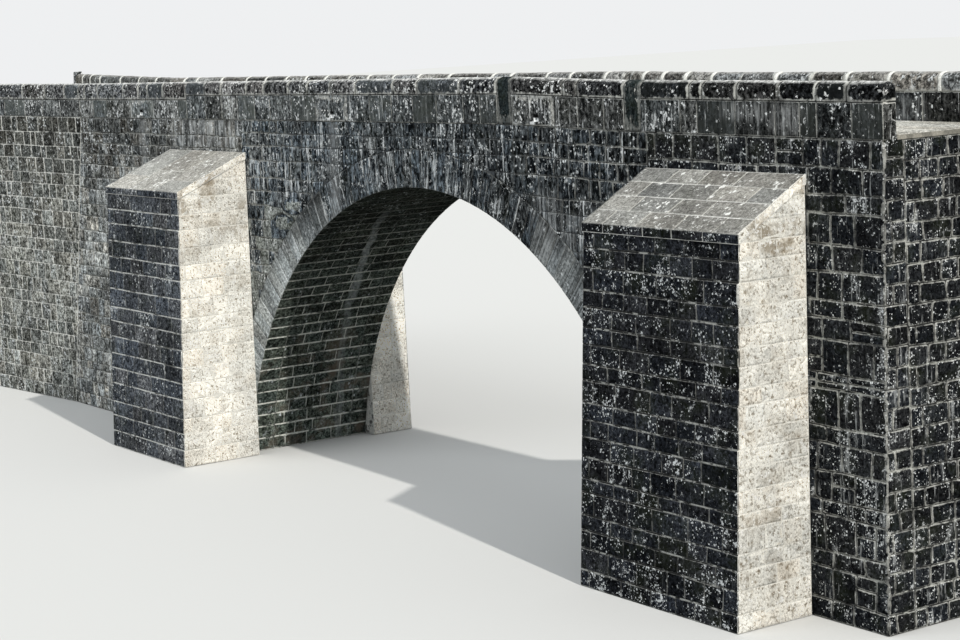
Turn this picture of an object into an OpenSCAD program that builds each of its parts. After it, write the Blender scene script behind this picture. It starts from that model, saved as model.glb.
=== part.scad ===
// Old granite road bridge with one round arch, buttresses and stone parapets.
// X runs along the bridge, Y across it, Z up. The near side faces -Y.
// The origin is the middle of the footprint, at the level where the walls meet the ground.

/* [Overall] */
// Overall length between the two plain ends
bridge_length = 39200; // [36000:100:39900]
// Outer width between the two wall faces
bridge_width = 3080; // [2900:10:3600]
// Distance of the arch's middle from the middle of the bridge
arch_offset = 5900; // [5000:50:6500]
// Height of the arch's crown above the ground
crown_height = 6700; // [6500:50:7000]

/* [Arch] */
// Inner radius of the arch
arch_radius = 8180; // [8000:10:8400]
// Radial depth of the arch stones
ring_depth = 800; // [700:10:900]

/* [Walls] */
// Thickness of the outer walls
wall_t = 450; // [400:10:500]
// Height of the walls above the ground, where the road is level
wall_height = 8050; // [7950:10:8100]
// Lean of the near wall face, as run over rise
wall_batter = 0.02; // [0.005:0.005:0.03]
// Thickness of the plain walls that close the two ends
end_wall_t = 500; // [400:10:600]
// Distance from the arch's middle to the bend where the wing walls start
wing_start = 17200; // [16500:50:18000]
// Angle by which the near wing wall turns outwards
near_flare = 6; // [3:0.5:8]
// Angle by which the far wing wall turns outwards
far_flare = 4; // [3:0.5:8]

/* [Road] */
// Rise of the road from the bend to the left end
left_rise = 100; // [50:5:150]
// Fall of the road between the two upright stones
middle_fall = 90; // [60:5:120]
// Fall of the road from the second upright stone to the right end
right_fall = 70; // [40:5:120]
// Thickness of the road's stone slabs
road_t = 90; // [60:5:120]

/* [Parapet] */
// Thickness of the parapet walls
parapet_t = 300; // [260:10:340]
// Height of the upright slab course under the coping
slab_h = 590; // [560:5:620]
// Height of the slab course near the left bend, where the coping is taller
low_slab_h = 480; // [440:5:540]
// Height of the parapet from the wall to the top of the coping
parapet_h = 930; // [900:10:980]
// Overhang of the coping on each side
coping_lip = 15; // [5:5:30]
// Height of the rounded top of the coping
coping_round = 120; // [80:5:140]
// Side of the square drain holes
drain_side = 100; // [80:5:120]

/* [Buttresses] */
// Width of the left buttresses
left_buttress_w = 4040; // [3900:10:4200]
// Width of the right buttresses
right_buttress_w = 4150; // [3900:10:4300]
// Distance from the arch's middle to the left buttresses
left_buttress_x = 7600; // [7500:10:7900]
// Distance from the arch's middle to the right buttresses
right_buttress_x = 7760; // [7500:10:7900]
// Reach of the near left buttress from the wall, below its cap
near_left_reach = 1840; // [1700:10:2000]
// Reach of the near right buttress from the wall, below its cap
near_right_reach = 1460; // [1300:10:1600]
// Reach of the far buttresses from the wall
far_reach = 1100; // [900:10:1300]
// Lean of the near buttress fronts, as run over rise
batter = 0.05; // [0.02:0.005:0.06]
// Lean of the near right buttress on its arch side, as run over rise
arch_side_lean = 0.02; // [0.005:0.005:0.03]
// Height of a buttress at the wall, to the top of its cap
cap_back_h = 7300; // [7200:10:7400]
// Height of a buttress at the front, to the top of its cap
cap_front_h = 6510; // [6400:10:6600]
// Extra height of the right caps at the wall
right_cap_rise = 35; // [0:5:60]
// Thickness of the cap slabs
cap_t = 170; // [120:10:200]
// Overhang of the cap slabs at the front and the sides
cap_lip = 30; // [10:5:60]

/* [Hidden] */

$fn = 96;
arch_fn = 228;
dark_granite = "#45464a";
grey_granite = "#5c5c5c";
sunlit_granite = "#a89a85";
slab_grey = "#77767a";
rubble_brown = "#6b6257";

left_end = -bridge_length / 2;
right_end = bridge_length / 2;
arch_x = arch_offset;
arch_centre_z = crown_height - arch_radius;
extrados = arch_radius + ring_depth;
bend_x = arch_x - wing_start;
// The spandrel walls end behind the buttresses
spandrel_half = extrados * cos(30);

// Reach of the lowest stones on each side sets the middle of the footprint
near_foot = near_left_reach + batter * cap_front_h;
far_foot = far_reach + cap_lip;
near_y = (near_foot - bridge_width - far_foot) / 2;
far_y = near_y + bridge_width;

// Places along the parapet where its stones change
tall_coping_end = arch_x - 10600;
crown_stone_x = [arch_x + 3100, arch_x + 3580];
buttress_stone_x = [arch_x + 7150, arch_x + 7620];
near_drains = [arch_x - 13270, arch_x - 3380, arch_x + 4410];
far_drains = [arch_x - 12700, arch_x - 3000, arch_x + 5200];
end_stone_l = 340;
end_stone_rise = 120;
end_stone_tip = 80;
lip_t = 60;
lip_reach = 90;

// Height of the wall's top at each place along the bridge, from left to right
wall_line = [
    [left_end, wall_height + left_rise], [bend_x, wall_height], [crown_stone_x[1], wall_height],
    [buttress_stone_x[0], wall_height - middle_fall],
    [right_end, wall_height - middle_fall - right_fall]
];
// The far parapet stands a little high at the left end and low beyond the crown
far_end_rise = 60;
far_crown_sag = 50;
far_slope_sag = 20;
far_line = [
    [left_end, wall_height + left_rise + far_end_rise], [bend_x, wall_height],
    [crown_stone_x[1], wall_height - far_crown_sag],
    [buttress_stone_x[0], wall_height - middle_fall - far_slope_sag],
    [right_end, wall_height - middle_fall - right_fall]
];
over = 50;
big = 60000;
above_all = 2 * crown_height;

// Height of a line at x
function level(line, x) = lookup(x, line);

// Points of a line between x0 and x1, with both ends, raised by dz
function stretch(line, x0, x1, dz) = concat(
    [[x0, level(line, x0) + dz]],
    [for (p = line) if (p[0] > x0 + 1 && p[0] < x1 - 1) [p[0], p[1] + dz]],
    [[x1, level(line, x1) + dz]]
);

function reversed(points) = [for (i = [len(points) - 1 : -1 : 0]) points[i]];

// A side elevation, drawn in X and Z, as thick as the stretch from y0 to y1
module across(y0, y1) {
    translate([0, y1, 0])
        rotate([90, 0, 0])
            linear_extrude(y1 - y0)
                children();
}

// Elevation from the ground up to the wall's top
module wall_elevation(x0, x1) {
    polygon(concat([[x1, 0], [x0, 0]], stretch(wall_line, x0, x1, 0)));
}

// Elevation of a course that stands on the wall, up to a height above another line
module course_elevation(line, x0, x1, h) {
    polygon(concat(reversed(stretch(wall_line, x0, x1, 0)), stretch(line, x0, x1, h)));
}

module extrados_circle() {
    translate([arch_x, arch_centre_z])
        circle(r = extrados, $fn = arch_fn);
}

module arch_elevation() {
    intersection() {
        difference() {
            extrados_circle();
            translate([arch_x, arch_centre_z])
                circle(r = arch_radius, $fn = arch_fn);
        }
        translate([arch_x - extrados - over, 0])
            square([2 * (extrados + over), crown_height + ring_depth + over]);
    }
}

// Distance by which a flared wing wall has moved outwards at the left end
function flare_run(angle) = (bend_x - left_end) * tan(angle);

// Plan of a strip of the near wing, between two distances from its outer face
module near_wing_plan(outer, inner) {
    polygon([
        [left_end, near_y - flare_run(near_flare) + outer], [bend_x, near_y + outer],
        [bend_x, near_y + inner], [left_end, near_y - flare_run(near_flare) + inner]
    ]);
}

// Plan of a strip of the far wing, between two distances from its outer face
module far_wing_plan(outer, inner) {
    polygon([
        [left_end, far_y + flare_run(far_flare) - inner], [bend_x, far_y - inner],
        [bend_x, far_y - outer], [left_end, far_y + flare_run(far_flare) - outer]
    ]);
}

// A strip of plan, cut to the elevation that follows as the second child
module cut_to_elevation() {
    intersection() {
        linear_extrude(above_all)
            children(0);
        across(-big / 4, big / 4)
            children(1);
    }
}

module wall_over_arch(x0, x1) {
    difference() {
        wall_elevation(x0, x1);
        extrados_circle();
    }
}

// A length of the near wall's thickness, with its leaning face, up past the wall's top
module near_thickness(x0, x1) {
    top = wall_height + left_rise + over;
    translate([x0, near_y, 0])
        rotate([90, 0, 90])
            linear_extrude(x1 - x0)
                polygon([
                    [-wall_batter * wall_height, 0], [wall_t, 0], [wall_t, top],
                    [0, top], [0, wall_height]
                ]);
}

// An elevation given the near wall's thickness and lean
module near_wall_piece(x0, x1) {
    intersection() {
        near_thickness(x0, x1);
        across(-big / 4, big / 4)
            children();
    }
}

// Arch

module arch_barrel() {
    color(dark_granite)
        across(near_y + wall_t, far_y - wall_t)
            arch_elevation();
}

module near_arch_ring() {
    color(grey_granite)
        near_wall_piece(arch_x - extrados, arch_x + extrados)
            arch_elevation();
}

module far_arch_ring() {
    color(grey_granite)
        across(far_y - wall_t, far_y)
            arch_elevation();
}

// Walls

module near_wall(x0, x1) {
    near_wall_piece(x0, x1)
        wall_over_arch(x0, x1);
}

// The leaning face runs on past the bend until it meets the upright wing wall
module near_left_wall() {
    lap = 1.2 * wall_batter * wall_height / tan(near_flare);
    color(dark_granite) {
        near_wall(bend_x, arch_x - spandrel_half);
        difference() {
            near_wall_piece(bend_x - lap, bend_x + over)
                translate([bend_x - lap, 0])
                    square([lap + over, wall_height]);
            linear_extrude(above_all)
                near_wing_plan(0, bridge_width);
        }
    }
}

module near_spandrel_wall() {
    color(dark_granite)
        near_wall(arch_x - spandrel_half, arch_x + spandrel_half);
}

module near_right_wall() {
    color(dark_granite)
        near_wall(arch_x + spandrel_half, right_end);
}

module far_wall(x0, x1) {
    across(far_y - wall_t, far_y)
        wall_over_arch(x0, x1);
}

module far_left_wall() {
    color(dark_granite)
        far_wall(bend_x, arch_x - spandrel_half);
}

module far_spandrel_wall() {
    color(dark_granite)
        far_wall(arch_x - spandrel_half, arch_x + spandrel_half);
}

module far_right_wall() {
    color(dark_granite)
        far_wall(arch_x + spandrel_half, right_end);
}

module near_wing_wall() {
    color(dark_granite)
        cut_to_elevation() {
            near_wing_plan(0, wall_t);
            wall_elevation(left_end, bend_x);
        }
}

module far_wing_wall() {
    color(dark_granite)
        cut_to_elevation() {
            far_wing_plan(0, wall_t);
            wall_elevation(left_end, bend_x);
        }
}

// Closes the left end between the two wing walls
module left_end_wall() {
    color(dark_granite)
        cut_to_elevation() {
            wing_core_plan();
            wall_elevation(left_end, left_end + end_wall_t);
        }
}

// Closes the right end between the two straight walls
module right_end_wall() {
    color(dark_granite)
        across(near_y + wall_t, far_y - wall_t)
            wall_elevation(right_end - end_wall_t, right_end);
}

// Rubble between the walls

module wing_core_plan() {
    polygon([
        [left_end, near_y - flare_run(near_flare) + wall_t], [bend_x, near_y + wall_t],
        [bend_x, far_y - wall_t], [left_end, far_y + flare_run(far_flare) - wall_t]
    ]);
}

module left_fill() {
    color(rubble_brown) {
        cut_to_elevation() {
            union() {
                wing_core_plan();
                translate([bend_x, near_y + wall_t])
                    square([arch_x - bend_x, bridge_width - 2 * wall_t]);
            }
            difference() {
                wall_elevation(left_end + end_wall_t, arch_x);
                extrados_circle();
            }
        }
    }
}

module right_fill() {
    color(rubble_brown)
        across(near_y + wall_t, far_y - wall_t)
            difference() {
                wall_elevation(arch_x, right_end - end_wall_t);
                extrados_circle();
            }
}

module road_slabs() {
    color(slab_grey)
        cut_to_elevation() {
            union() {
                polygon([
                    [left_end, near_y - flare_run(near_flare) + parapet_t], [bend_x, near_y + parapet_t],
                    [bend_x, far_y - parapet_t], [left_end, far_y + flare_run(far_flare) - parapet_t]
                ]);
                translate([bend_x, near_y + parapet_t])
                    square([right_end - bend_x, bridge_width - 2 * parapet_t]);
            }
            course_elevation(wall_line, left_end, right_end, road_t);
        }
}

// Buttresses

// Side elevation of a buttress, drawn with its reach to the right and its height upwards.
// lean is that of its front, and wall_lean that of the wall behind it.
module buttress_profile(reach, back_h, lean, wall_lean) {
    back = wall_lean * (wall_height - back_h + cap_t);
    polygon([
        [wall_lean * wall_height, 0], [reach + lean * cap_front_h, 0],
        [reach, cap_front_h - cap_t], [back, back_h - cap_t]
    ]);
}

module cap_profile(reach, back_h, wall_lean) {
    slope = (back_h - cap_front_h) / reach;
    tip = reach + cap_lip;
    tip_h = cap_front_h - slope * cap_lip;
    low_back = wall_lean * (wall_height - back_h + cap_t);
    high_back = wall_lean * (wall_height - back_h);
    polygon([[low_back, back_h - cap_t], [tip, tip_h - cap_t], [tip, tip_h], [high_back, back_h]]);
}

// Turns a profile so that its reach points to the near side, and makes it x0 to x1 wide
module towards_near(x0, x1) {
    translate([x1, near_y, 0])
        rotate([90, 0, -90])
            linear_extrude(x1 - x0)
                children();
}

module towards_far(x0, x1) {
    translate([x0, far_y, 0])
        rotate([90, 0, 90])
            linear_extrude(x1 - x0)
                children();
}

right_back_h = cap_back_h + right_cap_rise;
left_b = [arch_x - left_buttress_x - left_buttress_w, arch_x - left_buttress_x];
right_b = [arch_x + right_buttress_x, arch_x + right_buttress_x + right_buttress_w];

module near_left_buttress() {
    color(sunlit_granite)
        towards_near(left_b[0], left_b[1])
            buttress_profile(near_left_reach, cap_back_h, batter, wall_batter);
}

module near_right_buttress() {
    run_out = arch_side_lean * right_back_h;
    color(sunlit_granite)
        intersection() {
            towards_near(right_b[0] - run_out, right_b[1])
                buttress_profile(near_right_reach, right_back_h, batter, wall_batter);
            across(-big / 4, big / 4)
                polygon([
                    [right_b[0] - run_out, 0], [right_b[1], 0],
                    [right_b[1], right_back_h], [right_b[0], right_back_h]
                ]);
        }
}

module far_left_buttress() {
    color(sunlit_granite)
        towards_far(left_b[0], left_b[1])
            buttress_profile(far_reach, cap_back_h, 0, 0);
}

module far_right_buttress() {
    color(sunlit_granite)
        towards_far(right_b[0], right_b[1])
            buttress_profile(far_reach, right_back_h, 0, 0);
}

module near_left_cap() {
    color(slab_grey)
        towards_near(left_b[0] - cap_lip, left_b[1] + cap_lip)
            cap_profile(near_left_reach, cap_back_h, wall_batter);
}

module near_right_cap() {
    color(slab_grey)
        towards_near(right_b[0] - cap_lip, right_b[1] + cap_lip)
            cap_profile(near_right_reach, right_back_h, wall_batter);
}

module far_left_cap() {
    color(slab_grey)
        towards_far(left_b[0] - cap_lip, left_b[1] + cap_lip)
            cap_profile(far_reach, cap_back_h, 0);
}

module far_right_cap() {
    color(slab_grey)
        towards_far(right_b[0] - cap_lip, right_b[1] + cap_lip)
            cap_profile(far_reach, right_back_h, 0);
}

// Parapets

// Square drain holes through a straight parapet, with their floor at the road
module drain_holes(y, places) {
    for (x = places)
        translate([x - drain_side / 2, y - over, level(wall_line, x) + road_t])
            cube([drain_side, parapet_t + 2 * over, drain_side]);
}

module straight_slabs(line, y, x0, x1, h, drains) {
    color(dark_granite)
        difference() {
            across(y, y + parapet_t)
                course_elevation(line, x0, x1, h);
            drain_holes(y, [for (x = drains) if (x > x0 && x < x1) x]);
        }
}

// Cross-section of the coping: straight sides, which overhang by lip, and a rounded top
module coping_section(h, lip) {
    half = parapet_t / 2 + lip;
    round_r = (half * half + coping_round * coping_round) / (2 * coping_round);
    translate([-half, 0])
        square([2 * half, h - coping_round]);
    intersection() {
        translate([-half, h - coping_round - 1])
            square([2 * half, coping_round + 1]);
        translate([0, h - round_r])
            circle(r = round_r);
    }
}

// Coping of one straight run from one top point of the wall to the next.
// middle0 and middle1 are the Y of its centre line at the two ends.
module coping_run(x0, z0, middle0, x1, z1, middle1, low, lip = coping_lip) {
    run = norm([x1 - x0, middle1 - middle0]);
    turn = atan2(middle1 - middle0, x1 - x0);
    climb = atan2(z1 - z0, run);
    color(dark_granite)
        intersection() {
            translate([x0, -big / 4, 0])
                cube([x1 - x0, big / 2, above_all]);
            translate([x0, middle0, z0 + low])
                rotate([0, -climb, turn])
                    translate([-over, 0, 0])
                        rotate([90, 0, 90])
                            linear_extrude(run + 3 * over)
                                coping_section(parapet_h - low, lip);
        }
}

module straight_coping(line, middle, x0, x1, low, lip = coping_lip) {
    coping_run(x0, level(line, x0), middle, x1, level(line, x1), middle, low, lip);
}

near_mid = near_y + parapet_t / 2;
far_mid = far_y - parapet_t / 2;

module near_wing_slabs() {
    color(dark_granite)
        cut_to_elevation() {
            near_wing_plan(0, parapet_t);
            course_elevation(wall_line, left_end + end_stone_l, bend_x, low_slab_h);
        }
}

module near_left_slabs() {
    straight_slabs(wall_line, near_y, bend_x, tall_coping_end, low_slab_h, near_drains);
}

module near_middle_slabs() {
    straight_slabs(wall_line, near_y, tall_coping_end, crown_stone_x[0], slab_h, near_drains);
}

module near_slope_slabs() {
    straight_slabs(wall_line, near_y, crown_stone_x[1], buttress_stone_x[0], slab_h, near_drains);
}

module near_right_slabs() {
    straight_slabs(wall_line, near_y, buttress_stone_x[1], right_end, slab_h, near_drains);
}

module near_wing_coping() {
    x0 = left_end + end_stone_l;
    coping_run(
        x0, level(wall_line, x0), near_mid - (bend_x - x0) * tan(near_flare),
        bend_x, wall_height, near_mid, low_slab_h
    );
}

module near_left_coping() {
    straight_coping(wall_line, near_mid, bend_x, tall_coping_end, low_slab_h);
}

module near_middle_coping() {
    straight_coping(wall_line, near_mid, tall_coping_end, crown_stone_x[0], slab_h);
}

module near_slope_coping() {
    straight_coping(wall_line, near_mid, crown_stone_x[1], buttress_stone_x[0], slab_h);
}

module near_right_coping() {
    straight_coping(wall_line, near_mid, buttress_stone_x[1], right_end, slab_h);
}

// Upright stones as tall as the whole parapet, and no wider
module upright_stone(x) {
    straight_coping(wall_line, near_mid, x[0], x[1], 0, 0);
}

module crown_upright_stone() {
    upright_stone(crown_stone_x);
}

module buttress_upright_stone() {
    upright_stone(buttress_stone_x);
}

module far_wing_slabs() {
    color(dark_granite)
        cut_to_elevation() {
            far_wing_plan(0, parapet_t);
            course_elevation(far_line, left_end + end_stone_l, bend_x, slab_h);
        }
}

module far_middle_slabs() {
    straight_slabs(far_line, far_y - parapet_t, bend_x, crown_stone_x[1], slab_h, far_drains);
}

module far_right_slabs() {
    straight_slabs(far_line, far_y - parapet_t, crown_stone_x[1], right_end, slab_h, far_drains);
}

module far_wing_coping() {
    x0 = left_end + end_stone_l;
    coping_run(
        x0, level(far_line, x0), far_mid + (bend_x - x0) * tan(far_flare),
        bend_x, wall_height, far_mid, slab_h
    );
}

module far_middle_coping() {
    straight_coping(far_line, far_mid, bend_x, crown_stone_x[1], slab_h);
}

module far_slope_coping() {
    straight_coping(far_line, far_mid, crown_stone_x[1], buttress_stone_x[0], slab_h);
}

module far_right_coping() {
    straight_coping(far_line, far_mid, buttress_stone_x[0], right_end, slab_h);
}

// Tapered guard stone that ends a parapet
module end_stone(middle) {
    foot = parapet_t / 2;
    end_h = parapet_h + end_stone_rise;
    translate([left_end, middle, wall_height + left_rise])
        rotate([90, 0, 90])
            linear_extrude(end_stone_l)
                polygon([[-foot, 0], [foot, 0], [end_stone_tip, end_h], [-end_stone_tip, end_h]]);
}

module left_end_stones() {
    color(dark_granite) {
        end_stone(near_mid - flare_run(near_flare));
        end_stone(far_mid + flare_run(far_flare));
    }
}

// Small lip stones that carry the water clear of the wall under each drain hole
module drain_lip(x, z, y0, y1) {
    translate([x - drain_side, y0, z - lip_t])
        cube([2 * drain_side, y1 - y0, lip_t]);
}

module drain_lips() {
    color(slab_grey) {
        for (x = near_drains)
            drain_lip(x, level(wall_line, x) + road_t, near_y - lip_reach, near_y);
        for (x = far_drains)
            drain_lip(x, level(wall_line, x) + road_t, far_y, far_y + lip_reach);
    }
}

arch_barrel();
near_arch_ring();
far_arch_ring();
near_left_wall();
near_spandrel_wall();
near_right_wall();
far_left_wall();
far_spandrel_wall();
far_right_wall();
near_wing_wall();
far_wing_wall();
left_end_wall();
right_end_wall();
left_fill();
right_fill();
road_slabs();
near_left_buttress();
near_right_buttress();
far_left_buttress();
far_right_buttress();
near_left_cap();
near_right_cap();
far_left_cap();
far_right_cap();
near_wing_slabs();
near_left_slabs();
near_middle_slabs();
near_slope_slabs();
near_right_slabs();
near_wing_coping();
near_left_coping();
near_middle_coping();
near_slope_coping();
near_right_coping();
crown_upright_stone();
buttress_upright_stone();
far_wing_slabs();
far_middle_slabs();
far_right_slabs();
far_wing_coping();
far_middle_coping();
far_slope_coping();
far_right_coping();
left_end_stones();
drain_lips();
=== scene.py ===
"""An old granite road bridge: laid stones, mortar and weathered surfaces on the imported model."""
import math
import random

import bpy
import bmesh
import numpy as np
from mathutils import Matrix, Vector

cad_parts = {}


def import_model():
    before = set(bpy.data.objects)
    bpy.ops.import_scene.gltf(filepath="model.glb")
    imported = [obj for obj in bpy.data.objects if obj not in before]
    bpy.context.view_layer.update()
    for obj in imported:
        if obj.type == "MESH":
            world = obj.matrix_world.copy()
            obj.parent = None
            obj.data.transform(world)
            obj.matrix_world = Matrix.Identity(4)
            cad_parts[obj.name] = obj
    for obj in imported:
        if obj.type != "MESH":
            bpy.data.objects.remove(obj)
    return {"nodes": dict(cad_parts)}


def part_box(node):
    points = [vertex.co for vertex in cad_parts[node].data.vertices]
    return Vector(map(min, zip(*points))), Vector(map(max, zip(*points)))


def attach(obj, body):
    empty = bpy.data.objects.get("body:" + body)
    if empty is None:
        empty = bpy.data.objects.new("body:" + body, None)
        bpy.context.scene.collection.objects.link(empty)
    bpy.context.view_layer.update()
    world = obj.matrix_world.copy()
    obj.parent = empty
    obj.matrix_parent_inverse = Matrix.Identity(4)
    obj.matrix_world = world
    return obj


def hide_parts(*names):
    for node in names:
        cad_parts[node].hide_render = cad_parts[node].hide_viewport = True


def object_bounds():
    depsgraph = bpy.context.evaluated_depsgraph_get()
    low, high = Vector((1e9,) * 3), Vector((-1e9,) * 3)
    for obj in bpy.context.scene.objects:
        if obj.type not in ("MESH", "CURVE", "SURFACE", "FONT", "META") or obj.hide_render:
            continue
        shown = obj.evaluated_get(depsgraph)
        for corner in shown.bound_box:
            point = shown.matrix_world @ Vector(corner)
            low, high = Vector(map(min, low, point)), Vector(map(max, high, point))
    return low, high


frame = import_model()
cad_low, cad_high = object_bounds()

# The two long sides of the bridge, as the way that each faces along Y
NEAR, FAR = -1, 1
SIDES = ((NEAR, "near"), (FAR, "far"))

# Places of the bridge, in metres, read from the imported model
LEFT, RIGHT = cad_low.x, cad_high.x
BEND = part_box("near_wing_wall")[1].x
NEAR_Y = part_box("near_right_slabs")[0].y
FAR_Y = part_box("far_right_slabs")[1].y
FACE_Y = {NEAR: NEAR_Y, FAR: FAR_Y}
WALL_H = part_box("near_left_wall")[1].z
ARCH_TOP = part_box("near_arch_ring")[1].z
ARCH_X = sum(corner.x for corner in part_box("arch_barrel")) / 2
FOOT_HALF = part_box("arch_barrel")[1].x - ARCH_X
OUTER_R = (FOOT_HALF ** 2 + ARCH_TOP ** 2) / (2 * ARCH_TOP)
ARCH_Z = ARCH_TOP - OUTER_R

# Sizes that the model's boxes don't give
RING_DEPTH = 0.80
INNER_R = OUTER_R - RING_DEPTH
VOUSSOIR = 0.31
WALL_T = 0.45
WALL_LEAN = 0.02
COURSE = 0.335
WING_COURSE = 0.375
FLARE = {NEAR: math.radians(6), FAR: math.radians(4)}
PARAPET_T = 0.30
PARAPET_H = 0.93
COPING_ROUND = 0.12
COPING_LIP = 0.015
ROAD_T = 0.09
CAP_T = 0.17
CAP_LIP = 0.03
CAP_FRONT_H = 6.51
DRAIN = 0.10
DRAIN_DEPTH = 0.15
SLOPE_START, SLOPE_END = 9.48, 13.05

# Heights of the wall tops along the bridge
WALL_LINE = [
    (LEFT, WALL_H + 0.10), (BEND, WALL_H), (SLOPE_START, WALL_H), (SLOPE_END, WALL_H - 0.09),
    (RIGHT, WALL_H - 0.16)
]
FAR_LINE = [
    (LEFT, WALL_H + 0.16), (BEND, WALL_H), (SLOPE_START, WALL_H - 0.05), (SLOPE_END, WALL_H - 0.11),
    (RIGHT, WALL_H - 0.16)
]

# Joints of the parapet stones along the bridge
NEAR_COPING_JOINTS = [
    -18.6, -17.4, -16.1, -14.5, -13.2, -12.1, -10.9, -10.05, -8.4, -7.45, -6.9, -6.0, -4.95, -3.65, -2.75,
    -1.45, -0.6, 0.6, 1.5, 2.5, 3.6, 5.15, 6.1, 7.7, 11.2, 11.65, 14.9, 15.25, 16.15, 17.2, 18.1, 18.8
]
FAR_COPING_JOINTS = [
    -18.6, -17.9, -17.05, -15.3, -13.8, -12.45, -10.45, -9.7, -8.2, -6.75, -5.7, -4.6, -3.6, -2.6, -1.45,
    -0.55, 0.6, 1.7, 3.0, 4.75, 5.45, 6.8, 7.65, 8.85, 10.1, 10.7, 11.4, 12.2, 14.0, 14.95, 15.85, 16.9, 18.1
]
NEAR_SLAB_JOINTS = [
    -18.4, -17.2, -15.65, -14.45, -13.4, -12.4, -10.4, -9.5, -8.05, -6.6, -5.2, -3.65, -2.8, -1.95, -1.1,
    -0.35, 0.7, 1.8, 3.2, 4.15, 5.05, 5.9, 6.8, 7.8, 8.4, 10.9, 11.65, 12.45, 14.65, 15.1, 16.1, 17.1, 17.7,
    18.1, 18.9
]
FAR_SLAB_JOINTS = [
    -18.3, -17.2, -16.2, -15.0, -13.9, -12.8, -12.1, -10.2, -9.3, -8.1, -7.4, -6.1, -5.2, -4.0, -2.9, -2.2,
    -1.3, -0.2, 0.8, 1.7, 3.3, 4.2, 5.0, 6.1, 7.0, 8.1, 10.4, 11.6, 12.5, 13.6, 14.7, 15.5, 16.6, 17.7, 18.6
]
DRAINS = {
    NEAR: [ARCH_X - 13.27, ARCH_X - 3.38, ARCH_X + 4.41],
    FAR: [ARCH_X - 12.70, ARCH_X - 3.00, ARCH_X + 5.20],
}

# Round boulders in the near wall beside the arch: x, z, half width, half height
BOULDERS = [(0.04, 5.68, 0.50, 0.235), (0.50, 6.10, 0.52, 0.20)]


def level(line, x):
    """Height of a line at x."""
    xs, zs = zip(*line)
    return np.interp(x, xs, zs)


def at_right_end(x):
    return x > RIGHT - 0.01


# Outlines of stones

# A stone that is cut to less than this share of its area is left out
LEAST_SHARE = 0.12


def edges_of(outline):
    """The edges of a closed outline, as pairs of points."""
    return zip(outline, outline[1:] + outline[:1])


def trimmed(outline, region):
    """The part of a convex outline that lies inside a convex region, drawn anticlockwise."""
    for (ax, ay), (bx, by) in edges_of(region):
        kept = []
        for (px, py), (qx, qy) in edges_of(outline):
            p = (bx - ax) * (py - ay) - (by - ay) * (px - ax)
            q = (bx - ax) * (qy - ay) - (by - ay) * (qx - ax)
            if p >= 0:
                kept.append((px, py))
            if p * q < 0:
                t = p / (p - q)
                kept.append((px + t * (qx - px), py + t * (qy - py)))
        outline = kept
        if len(outline) < 3:
            return []
    return outline


def split_edges(outline, longest):
    """The outline with points added, so that no edge is longer than longest."""
    points = []
    for (px, py), (qx, qy) in edges_of(outline):
        parts = max(1, math.ceil(math.hypot(qx - px, qy - py) / longest))
        points += [(px + (qx - px) * i / parts, py + (qy - py) * i / parts) for i in range(parts)]
    return points


def area(outline):
    return abs(sum(p[0] * q[1] - q[0] * p[1] for p, q in edges_of(outline))) / 2


def outside_round(outline, shape):
    """The outline with what reaches into an ellipse pushed out to its rim, or nothing if little is left."""
    cx, cz, rx, rz = shape
    dense = split_edges(outline, min(0.16, 0.3 * rz))
    if all(math.hypot((x - cx) / rx, (z - cz) / rz) > 1 for x, z in dense):
        return outline
    pushed = []
    for x, z in dense:
        k = max(1.0, (1 + 0.004 / rz) / max(math.hypot((x - cx) / rx, (z - cz) / rz), 1e-6))
        pushed.append((cx + (x - cx) * k, cz + (z - cz) * k))
    return pushed if area(pushed) > LEAST_SHARE * area(outline) else []


def rounded(outline, corner, rng):
    """The outline with its corners worn off and its long edges a little crooked."""
    points = []
    for i, (x, y) in enumerate(outline):
        reach = corner * rng.uniform(0.6, 1.4)
        after = outline[(i + 1) % len(outline)]
        ends = []
        for nx, ny in (outline[i - 1], after):
            length = math.hypot(nx - x, ny - y) or 1e-6
            cut = min(reach, 0.3 * length) / length
            ends.append((x + (nx - x) * cut, y + (ny - y) * cut))
        (ax, ay), (bx, by) = ends
        points += [ends[0], (x + (ax + bx - 2 * x) * 0.25, y + (ay + by - 2 * y) * 0.25), ends[1]]
        nx, ny = after
        if math.hypot(nx - x, ny - y) > 0.28:
            shake = corner * 0.25
            points.append(tuple(c / 2 + rng.uniform(-shake, shake) for c in (x + nx, y + ny)))
    return points


def between_points(p, q, t):
    return p[0] * (1 - t) + q[0] * t, p[1] * (1 - t) + q[1] * t


def coursed(u0, u1, levels, lengths, rng, wave=0.0, split=0.0):
    """Outlines of stones laid in courses between two ends, with staggered joints and waving beds.

    split is the share of the stones that are cut in two, one half on the other.
    """
    phase = rng.uniform(0, 6)

    def bed(k, u):
        if k in (0, len(levels) - 1):
            return levels[k]
        shift = math.sin(1.9 * u + 2.3 * k + phase) + 0.6 * math.sin(5.3 * u + 1.7 * k)
        return levels[k] + wave * shift / 1.6

    for k in range(len(levels) - 1):
        joints = [u0]
        u = u0 + rng.uniform(0.45, 1.0) * lengths[k % 2]
        while u < u1 - 0.7 * lengths[0]:
            joints.append(u)
            u += rng.uniform(*lengths)
        joints.append(u1)
        leans = [rng.uniform(-1, 1) * min(wave + 0.004, 0.02) for _ in joints]
        leans[0] = leans[-1] = 0.0
        for a, b, lean_a, lean_b in zip(joints, joints[1:], leans, leans[1:]):
            low = [(a - lean_a, bed(k, a)), (b - lean_b, bed(k, b))]
            high = [(b + lean_b, bed(k + 1, b)), (a + lean_a, bed(k + 1, a))]
            if rng.random() < split:
                t = rng.uniform(0.4, 0.6)
                left, right = between_points(low[0], high[1], t), between_points(low[1], high[0], t)
                yield low + [right, left]
                yield [left, right] + high
            else:
                yield low + high


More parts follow.
